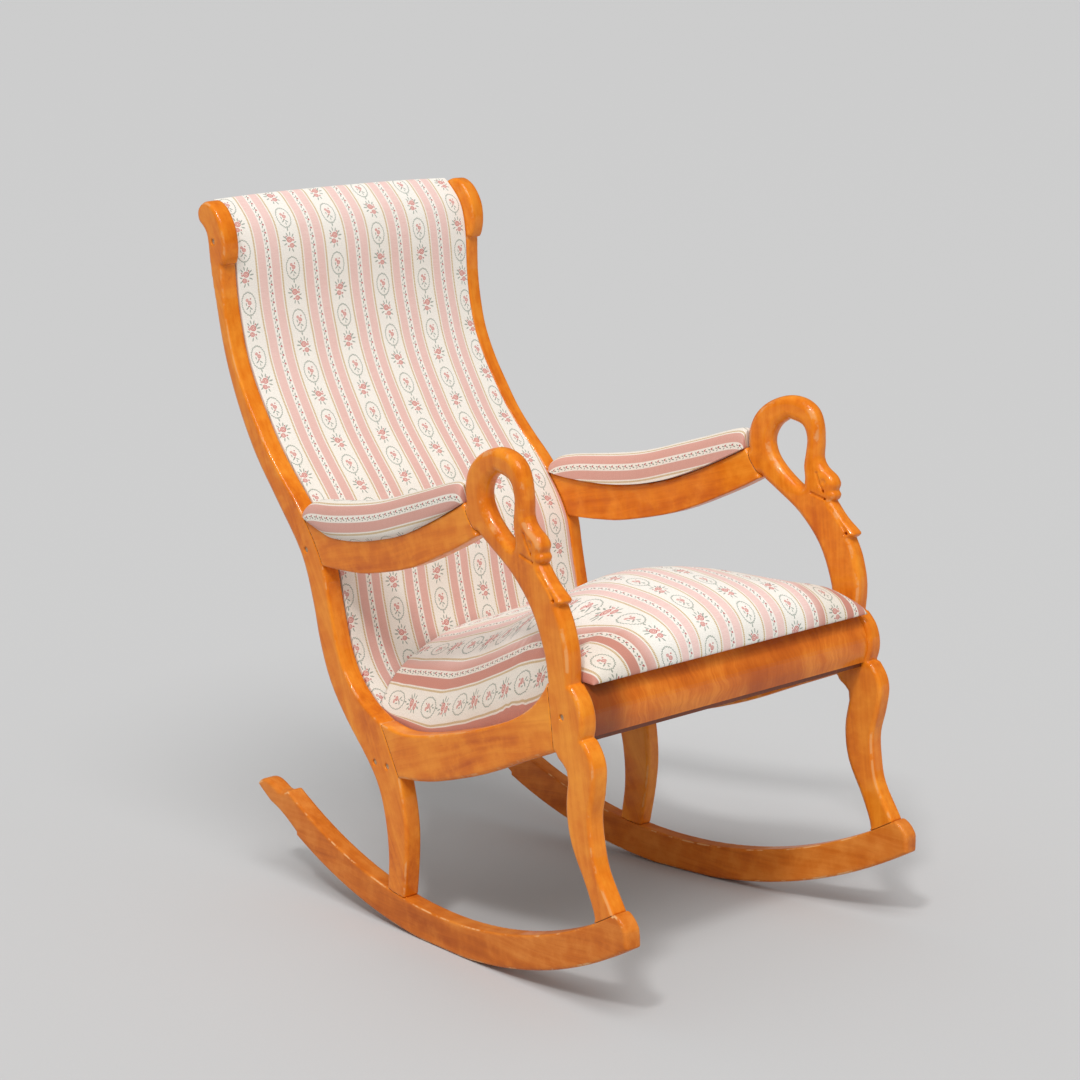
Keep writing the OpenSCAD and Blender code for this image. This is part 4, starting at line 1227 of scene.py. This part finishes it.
def subdivide(piece):
    """One subdivision, applied, which keeps the cloth's coordinates."""
    modifier = piece.modifiers.new("round", "SUBSURF")
    modifier.levels = modifier.render_levels = 1
    graph = bpy.context.evaluated_depsgraph_get()
    rounded = bpy.data.meshes.new_from_object(piece.evaluated_get(graph))
    piece.modifiers.remove(modifier)
    old = piece.data
    piece.data = rounded
    bpy.data.meshes.remove(old)
    rounded.name = piece.name
    rounded.polygons.foreach_set("use_smooth", np.ones(len(rounded.polygons), bool))


def soft_piece(name, grids, coordinates, deep, material, node, pressure, cap):
    """Upholstery between two grids, held along its rim and its floor, in place of a CAD node."""
    top, floor = grids
    piece = make_object(name, *skin(top, floor))
    set_attribute(piece, "cloth", np.tile(coordinates.reshape(-1, 3), (2, 1)))
    rim = np.ones(top.shape[:2], bool)
    # The "deep" attribute holds how dark each point is painted: painted shade on the seat's side walls and
    # the arm pads, darker towards the back's foot
    set_attribute(piece, "deep", np.tile(np.broadcast_to(deep, rim.shape).ravel(), 2))
    rim[1:-1, 1:-1] = False
    pin_and_inflate(piece, np.concatenate((rim.ravel(), np.ones(rim.size, bool))), pressure, cap)
    subdivide(piece)
    return finish_piece(piece, material, "striped_cloth", node)


# Cloth laid on the soft parts. Tables give a value, or a shift in mm, by a length in mm.
BACK_BAND = 3
SEAT_BAND = 11
PAD_BAND = 19
SEAT_STRIPE_X = -9 * MM
SEAT_STRETCH = 1.017
SEAT_RUN_STRETCH = 1.1
SEAT_EDGE_STRIPE = -256 * MM
SEAT_SIDE_STRETCH = 1.28
SEAT_SIDE_ENDS = (125 * MM, 225 * MM)
SEAT_EVENING = 40
# Painted shade on the seat's side walls: the lengths inward over which it fades out, and its strength
SEAT_SHADE_ENDS = (85 * MM, 150 * MM)
SEAT_SIDE_SHADE = 0.95
SEAT_PRESSURE = 2.0
SEAT_SWELL = 8 * MM
BACK_STRIPE_SHIFTS = ((0, 10), (240, 14), (400, 10), (480, 4), (565, 0), (685, -4), (805, 1), (890, 2))
# How much darker the back's cloth is made, strongest at its foot
BACK_DARKENING = ((0, 0.6), (420, 0.4), (700, 0.1), (1000, 0))
BACK_PRESSURE = 1.5
BACK_SWELL = 5 * MM
PAD_STRIPE_SHIFTS = {"right": 32 * MM, "left": 38 * MM}
# Painted shade over the whole of each arm pad
PAD_PAINTED_SHADE = 0.65
PAD_PRESSURE = 2.0
PAD_SWELL = 3 * MM


def laid_cloth(across, along, band):
    """Cloth coordinates in metres, with the chair's middle at the start of the given band."""
    u = across + band * BAND_PITCH * MM
    return np.stack(np.broadcast_arrays(u, along, np.zeros(1)), axis=2)


def eased(value, low, high):
    """0 below low, 1 above high, and smooth between them."""
    share = np.clip((value - low) / (high - low), 0, 1)
    return share * share * (3 - 2 * share)


def looked_up(length, rows):
    """Value in a table of lengths in mm and values, for each length in metres."""
    lengths, values = np.array(rows, float).T
    return np.interp(length / MM, lengths, values)


def evened(values):
    """Values of a grid with their unevenness from row to row taken out."""
    for _ in range(SEAT_EVENING):
        values[1:-1] = (values[:-2] + 2 * values[1:-1] + values[2:]) / 4
    return values


def seat_cloth(top):
    """Straight stripes over the crown, which follow the frame down the right-hand side wall."""
    along = arc_along(top[:, top.shape[1] // 2])[:, None] / SEAT_RUN_STRETCH
    across = arc_across(top)
    straight = (across - SEAT_STRIPE_X) / SEAT_STRETCH
    from_edge = evened(across - across[:, :1])
    beside = SEAT_EDGE_STRIPE + from_edge / SEAT_SIDE_STRETCH
    share = eased(from_edge, *SEAT_SIDE_ENDS)
    return laid_cloth(share * straight + (1 - share) * beside, along, SEAT_BAND)


def seat_painted_shade(top):
    """Painted shade: the side walls are painted darker than the crown."""
    across = arc_across(top)
    inward = np.minimum(across - across[:, :1], across[:, -1:] - across)
    return SEAT_SIDE_SHADE * (1 - eased(inward, *SEAT_SHADE_ENDS))


def make_seat(material):
    top, floor = seat_grids()
    top = smoothed(top, 2)
    piece = soft_piece("seat_upholstery", (top, floor), seat_cloth(top), seat_painted_shade(top), material,
                       "seat_cushion", SEAT_PRESSURE, SEAT_SWELL)


def make_back(material):
    top, floor = back_grids()
    top = smoothed(top, 2)
    along = arc_along(top[:, top.shape[1] // 2])[:, None]
    shift = looked_up(along, BACK_STRIPE_SHIFTS) * MM
    coordinates = laid_cloth(top[:, :, 0] + shift, along, BACK_BAND)
    piece = soft_piece("back_upholstery", (top, floor), coordinates, looked_up(along, BACK_DARKENING),
                       material, "back_cushion", BACK_PRESSURE, BACK_SWELL)


PAD_ROWS = 44
PAD_RING = 24
PAD_REACH = 0.998


def pad_grids():
    """Arch and foot of the right arm pad's sections, in plank coordinates."""
    points = to_plank(node_points("right_arm_pad"))
    low, high = points[:, 1].min(), points[:, 1].max()
    shares = 0.5 - 0.5 * PAD_REACH * np.cos(np.linspace(0, math.pi, PAD_ROWS))
    sections = plane_sections(points, node_triangles("right_arm_pad"), low + (high - low) * shares)
    arches, feet = [], []
    for loop in sections:
        loop = from_point(loop, np.argmin(loop[:, 2]))
        if np.argmax(loop[:, 2]) > np.argmax(loop[:, 0]):
            loop = turned(loop)
        arch, foot = halves(loop, np.argmax(loop[:, 0]), PAD_RING)
        arches.append(arch)
        feet.append(foot)
    return np.array(arches), np.array(feet)


def placed_grid(grid, side):
    """A pad's grid at its side of the chair, with its rows and columns in an order that faces out."""
    return from_plank(grid, side)[::-1, ::side]


def make_arm_pads(material):
    arch, foot = pad_grids()
    arch = smoothed(arch, 3)
    across = arc_across(arch)
    along = arc_along(arch[:, PAD_RING // 2])[:, None]
    for name, side in SIDES.items():
        grids = placed_grid(arch, side), placed_grid(foot, side)
        lay = laid_cloth(across * side + PAD_STRIPE_SHIFTS[name], along, PAD_BAND)[::-1, ::side]
        piece = soft_piece(f"{name}_arm_upholstery", grids, lay, PAD_PAINTED_SHADE, material,
                           f"{name}_arm_pad", PAD_PRESSURE, PAD_SWELL)


# Webbing, canvas and rear cloth: thin closed skins round a middle sheet

STRAP_T = 0.9 * MM
STRAP_W = 46 * MM
STRAP_LIFT = 0.5 * MM
STRAP_COLUMNS = 5
STRAP_STEPS = 90
WEB_FRONT = np.array((0, -0.33971, 0.39984))
WEB_PITCH = math.radians(20.305)
WEB_RUN = 403.1 * MM
WEB_T = 2 * MM
WEB_ENDS = (11 * MM, 403 * MM)
WEB_STRAPS = 4
WEB_STRAP_PITCH = 92 * MM
ALONG_WEB = np.array((0, math.cos(WEB_PITCH), -math.sin(WEB_PITCH)))
OUT_OF_WEB = np.array((0, math.sin(WEB_PITCH), math.cos(WEB_PITCH)))
SIDEWAYS = np.array((1.0, 0.0, 0.0))
CANVAS_SIZE = (330 * MM, 288 * MM)
CANVAS_GRID = (61, 55)
CANVAS_HEIGHT = 95 * MM
CANVAS_T = 1.2 * MM
CANVAS_DENT = 0.3 * MM
SPRING_PLACES_ACROSS = 3
BACK_STRAPS_UP = 3
BACK_STRAPS_ACROSS = 5
BACK_STRAP_PITCH = 110.4 * MM
BACK_STRAP_MIDDLE = 0.575
BACK_STRAP_LIFT_SHARE = 0.5
COVER_T = 1.4 * MM
COVER_COLUMNS = 40
COVER_ROWS = 120


def sheet_skin(sheet, out, thick):
    """Closed skin round a grid of points, which is given the thickness along the way out."""
    lift = np.broadcast_to(out, sheet.shape) * thick / 2
    return skin(sheet + lift, sheet - lift)


def strap_skin(middle, across, out):
    """Closed skin of a strap that follows a middle line."""
    share = np.linspace(-0.5, 0.5, STRAP_COLUMNS)[None, :, None]
    sheet = middle[:, None] + np.broadcast_to(across, middle.shape)[:, None] * STRAP_W * share
    return sheet_skin(sheet, np.broadcast_to(out, middle.shape)[:, None], STRAP_T)


def joined(skins):
    """Points and quads of several skins in one mesh."""
    points, quads, base = [], [], 0
    for part_points, part_quads in skins:
        points.append(part_points)
        quads.append(part_quads + base)
        base += len(part_points)
    return np.concatenate(points), np.concatenate(quads)


def finish_sheet(name, skin_made, material, slot, node):
    """A stretched sheet with its own coordinates, in place of a CAD node."""
    piece = make_object(name, *skin_made)
    set_attribute(piece, "cloth", skin_made[0])
    finish_piece(piece, material, slot, node)


def woven(turn):
    """Wave of a strap that passes over and under its neighbours, with flat crests."""
    return STRAP_LIFT * np.clip(1.4 * np.cos(turn), -1, 1)


def web_point(x, run, out):
    """Places in the chair from places across, along and out of the seat's webbing."""
    shares = np.broadcast_arrays(x, run, out)
    ways = (SIDEWAYS, ALONG_WEB, OUT_OF_WEB)
    return WEB_FRONT + sum(share[..., None] * way for share, way in zip(shares, ways))


def from_middle(number, count):
    """How many steps a strap lies from the middle of a row of straps."""
    return number - (count - 1) / 2


def make_seat_webbing(material):
    skins, total = [], 0
    bay = WEB_RUN / WEB_STRAPS
    for i in range(WEB_STRAPS):
        run = np.linspace(*WEB_ENDS, STRAP_STEPS)
        lift = WEB_T / 2 + woven(math.pi * (run / bay - 0.5 + i))
        line = web_point(from_middle(i, WEB_STRAPS) * WEB_STRAP_PITCH, run, lift)
        skins.append(strap_skin(line, SIDEWAYS, OUT_OF_WEB))
        run = bay * (i + 0.5)
        reach = half_clear(*(WEB_FRONT + run * ALONG_WEB)[1:]) - STRAP_T
        x = np.linspace(-reach, reach, STRAP_STEPS)
        turn = math.pi * (x / WEB_STRAP_PITCH + (WEB_STRAPS - 1) / 2 + i + 1)
        line = web_point(x, run, WEB_T / 2 + woven(turn))
        skins.append(strap_skin(line, -ALONG_WEB, OUT_OF_WEB))
        total += WEB_ENDS[1] - WEB_ENDS[0] + 2 * reach
    finish_sheet("seat_webbing_straps", joined(skins), material, "jute_webbing", "seat_webbing")


def make_canvas(material):
    wide, long = CANVAS_SIZE
    x = np.linspace(-wide / 2, wide / 2, CANVAS_GRID[0])
    run = np.linspace(-long / 2, long / 2, CANVAS_GRID[1])[:, None]
    turns = 2 * math.pi * SPRING_PLACES_ACROSS
    dents = CANVAS_DENT * np.cos(turns * x / wide) * np.cos(turns * run / long)
    sheet = web_point(x, run + WEB_RUN / 2, CANVAS_HEIGHT + dents)
    finish_sheet("spring_canvas_cloth", sheet_skin(sheet, OUT_OF_WEB, CANVAS_T), material,
                 "spring_canvas", "spring_canvas")


def band_line(name, count):
    """Middle line of a thin upright band, from its foot up, and the ways out of its rear."""
    line = middle_section(name)
    line = from_point(line, np.argmin(line[:, 1]))
    one, other = halves(line, np.argmax(line[:, 1]), count)
    middle = (one + other) / 2
    return middle, -line_normals(middle)


def in_space(x, line):
    """Places in the chair from places across it and a line of y and z."""
    x = np.broadcast_to(x, line.shape[:-1])
    return np.concatenate((x[..., None], line), axis=-1)


def back_strap_up(number, middle, rear):
    """Skin of an upright strap of the back."""
    arcs = arc_along(middle)
    crossings_up = BACK_STRAPS_ACROSS * arcs / arcs[-1] - BACK_STRAP_MIDDLE
    wave = BACK_STRAP_LIFT_SHARE * woven(math.pi * (crossings_up + number))
    x = from_middle(number, BACK_STRAPS_UP) * BACK_STRAP_PITCH
    line = in_space(x, middle + wave[:, None] * rear)
    return strap_skin(line, SIDEWAYS, -in_space(0.0, rear))


def back_strap_across(number, middle, rear):
    """Skin of a strap across the back, and half its length."""
    arcs = arc_along(middle)
    at = arcs[-1] * (number + BACK_STRAP_MIDDLE) / BACK_STRAPS_ACROSS
    rows = np.linspace(at - STRAP_W / 2, at + STRAP_W / 2, STRAP_COLUMNS)
    line, out = (np.column_stack([np.interp(rows, arcs, values[:, k]) for k in range(2)])
                 for values in (middle, rear))
    reach = half_clear(*line[STRAP_COLUMNS // 2]) - STRAP_T
    x = np.linspace(-reach, reach, STRAP_STEPS)
    turn = math.pi * (x / BACK_STRAP_PITCH + (BACK_STRAPS_UP - 1) / 2 + number)
    wave = -BACK_STRAP_LIFT_SHARE * woven(turn)
    sheet = in_space(x[None], line[:, None] + wave[None, :, None] * out[:, None])
    return sheet_skin(sheet, -in_space(0.0, out)[:, None], STRAP_T), reach


def make_back_webbing(material):
    middle, rear = band_line("back_webbing", STRAP_STEPS)
    skins = [back_strap_up(i, middle, rear) for i in range(BACK_STRAPS_UP)]
    total = BACK_STRAPS_UP * arc_along(middle)[-1]
    for i in range(BACK_STRAPS_ACROSS):
        made, reach = back_strap_across(i, middle, rear)
        skins.append(made)
        total += 2 * reach
    finish_sheet("back_webbing_straps", joined(skins), material, "jute_webbing", "back_webbing")


def make_outer_back(material):
    """Cloth stretched over the rear of the back, between the frames."""
    middle, rear = band_line("outer_back_cover", COVER_ROWS)
    share = np.linspace(1, -1, COVER_COLUMNS + 1)
    reach = np.array([half_clear(y, z) - COVER_T for y, z in middle])
    sheet = in_space(share * reach[:, None], np.repeat(middle[:, None], len(share), axis=1))
    piece = make_object("outer_back_cloth", *sheet_skin(sheet, in_space(0.0, rear)[:, None], COVER_T))
    arcs = arc_along(middle)
    lay = laid_cloth(sheet[:, :, 0], arcs[:, None], BACK_BAND)
    set_attribute(piece, "cloth", np.tile(lay.reshape(-1, 3), (2, 1)))
    finish_piece(piece, material, "striped_cloth", "outer_back_cover")


# Surroundings

FLOOR_R = 60
FLOOR_MIDDLE_R = 3
FLOOR_CORNERS = 64
FLOOR_TONES = ((0.524, 0.524, 0.524), (0.532, 0.532, 0.532))
FLOOR_SPECKLE = 300
BACKDROP = (0.617, 0.617, 0.617)
WHITE = (1, 1, 1)
FILL_STRENGTH = 0.56
REFLECTED_STRENGTH = 0.1

# Lamps: name, azimuth and elevation in degrees, strength, and width in degrees
SUNS = (("key", -40, 58, 1.55, 36), ("glint", -64, 52, 0.85, 7))


def make_floor():
    """A plain disc, in one middle piece and a ring of quads round it."""
    s = Shader("floor")
    speckle = s.noise(s.place(), FLOOR_SPECKLE, 2, 0.5)
    s.finish(s.ramp(speckle, (0.3, 0.7), FLOOR_TONES), 0.9, Specular_IOR_Level=0.1)
    turns = np.linspace(0, 2 * math.pi, FLOOR_CORNERS + 1)[:-1]
    ring = np.column_stack((np.cos(turns), np.sin(turns), np.zeros(FLOOR_CORNERS)))
    inner = np.arange(FLOOR_CORNERS)
    ahead = np.roll(inner, -1)
    quads = np.column_stack((inner, ahead, ahead + FLOOR_CORNERS, inner + FLOOR_CORNERS))
    points = np.concatenate((ring * FLOOR_R, ring * FLOOR_MIDDLE_R))
    outside = make_object("floor", points, quads, smooth=False)
    middle = make_object("floor_middle", ring * FLOOR_MIDDLE_R, [inner], smooth=False)
    for part in (outside, middle):
        part.data.materials.append(s.material)


def make_world():
    """Soft light from all round, dimmer in reflections, and a plain backdrop for the camera."""
    world = bpy.data.worlds.new("studio")
    world.use_nodes = True
    bpy.context.scene.world = world
    nodes, link = world.node_tree.nodes, world.node_tree.links.new
    nodes.clear()
    kinds = ("OutputWorld", "Background", "Background", "LightPath", "Math", "MixShader")
    out, light, seen, path, strength, mix = (nodes.new("ShaderNode" + kind) for kind in kinds)
    seen.inputs["Color"].default_value = (*BACKDROP, 1)
    light.inputs["Color"].default_value = (*WHITE, 1)
    strength.operation = "MULTIPLY_ADD"
    strength.inputs[1].default_value = REFLECTED_STRENGTH - FILL_STRENGTH
    strength.inputs[2].default_value = FILL_STRENGTH
    link(path.outputs["Is Glossy Ray"], strength.inputs[0])
    link(strength.outputs[0], light.inputs["Strength"])
    link(path.outputs["Is Camera Ray"], mix.inputs[0])
    link(light.outputs[0], mix.inputs[1])
    link(seen.outputs[0], mix.inputs[2])
    link(mix.outputs[0], out.inputs[0])


def make_suns():
    """A broad key light from the left of the camera, and a narrow one for glints on varnish."""
    for name, azimuth, elevation, strength, width in SUNS:
        sun = bpy.data.lights.new(name, "SUN")
        sun.energy = strength
        sun.angle = math.radians(width)
        way = bearing(math.radians(azimuth), math.radians(elevation))
        placed(name, sun).rotation_euler = way.to_track_quat("Z", "Y").to_euler()


# Everything in its order

DEAL = srgb(196, 158, 110), srgb(140, 102, 62)
BRASSY_STEEL = srgb(214, 196, 160), srgb(150, 128, 98)
DULL_STEEL = srgb(132, 128, 124), srgb(84, 76, 68)
STAINED_WOOD = srgb(140, 70, 34), srgb(84, 36, 16)
JUTE = srgb(186, 156, 112), srgb(122, 96, 62)
JUTE_PITCH = 3.2 * MM
LINEN = srgb(206, 186, 150), srgb(160, 136, 100)
LINEN_PITCH = 1.4 * MM


def dress(material, *names):
    """Gives CAD nodes that stay as they are their material."""
    for name in names:
        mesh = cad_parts[name].data
        mesh.materials.clear()
        mesh.materials.append(material)


def make_plain_pieces():
    """Materials of the CAD nodes that keep their own mesh."""
    deal = plain_finish("deal", DEAL, 60, 0.7)
    dress(deal, "front_rail_core", "rear_seat_rail", "lumbar_rail", "crest_rail")
    dress(figured_veneer("figured_veneer"), "front_rail_veneer")
    dress(plain_finish("dark_moulding", STAINED_WOOD, 50, 0.3), "front_rail_moulding")
    steel = plain_finish("screw_steel", BRASSY_STEEL, 200, 0.35, metal=0.55)
    dress(steel, "right_frame_screws", "left_frame_screws")
    dress(plain_finish("spring_steel", DULL_STEEL, 120, 0.4, metal=0.85), "seat_springs")


def make_upholstery():
    """Seat, back, arm pads and rear cloth, and what lies under them."""
    cloth = striped_cloth("striped_cloth")
    jute = woven_jute("jute_webbing", JUTE, JUTE_PITCH)
    make_seat(cloth)
    make_back(cloth)
    make_arm_pads(cloth)
    make_outer_back(cloth)
    make_seat_webbing(jute)
    make_canvas(woven_jute("spring_canvas", LINEN, LINEN_PITCH))
    make_back_webbing(jute)


make_camera()
make_world()
make_floor()
make_suns()
make_plain_pieces()
birch = wood("birch", HONEY, rough=0.36, coat=0.45, figure=0.3, wear_and_highlight=0.5)
worn_birch = wood("worn_birch", WORN_HONEY, rough=0.42, coat=0.3, figure=0.25, wear_and_highlight=0.9)
make_side_frames(birch, worn_birch)
make_upholstery()

bpy.context.scene.view_settings.view_transform = "Standard"
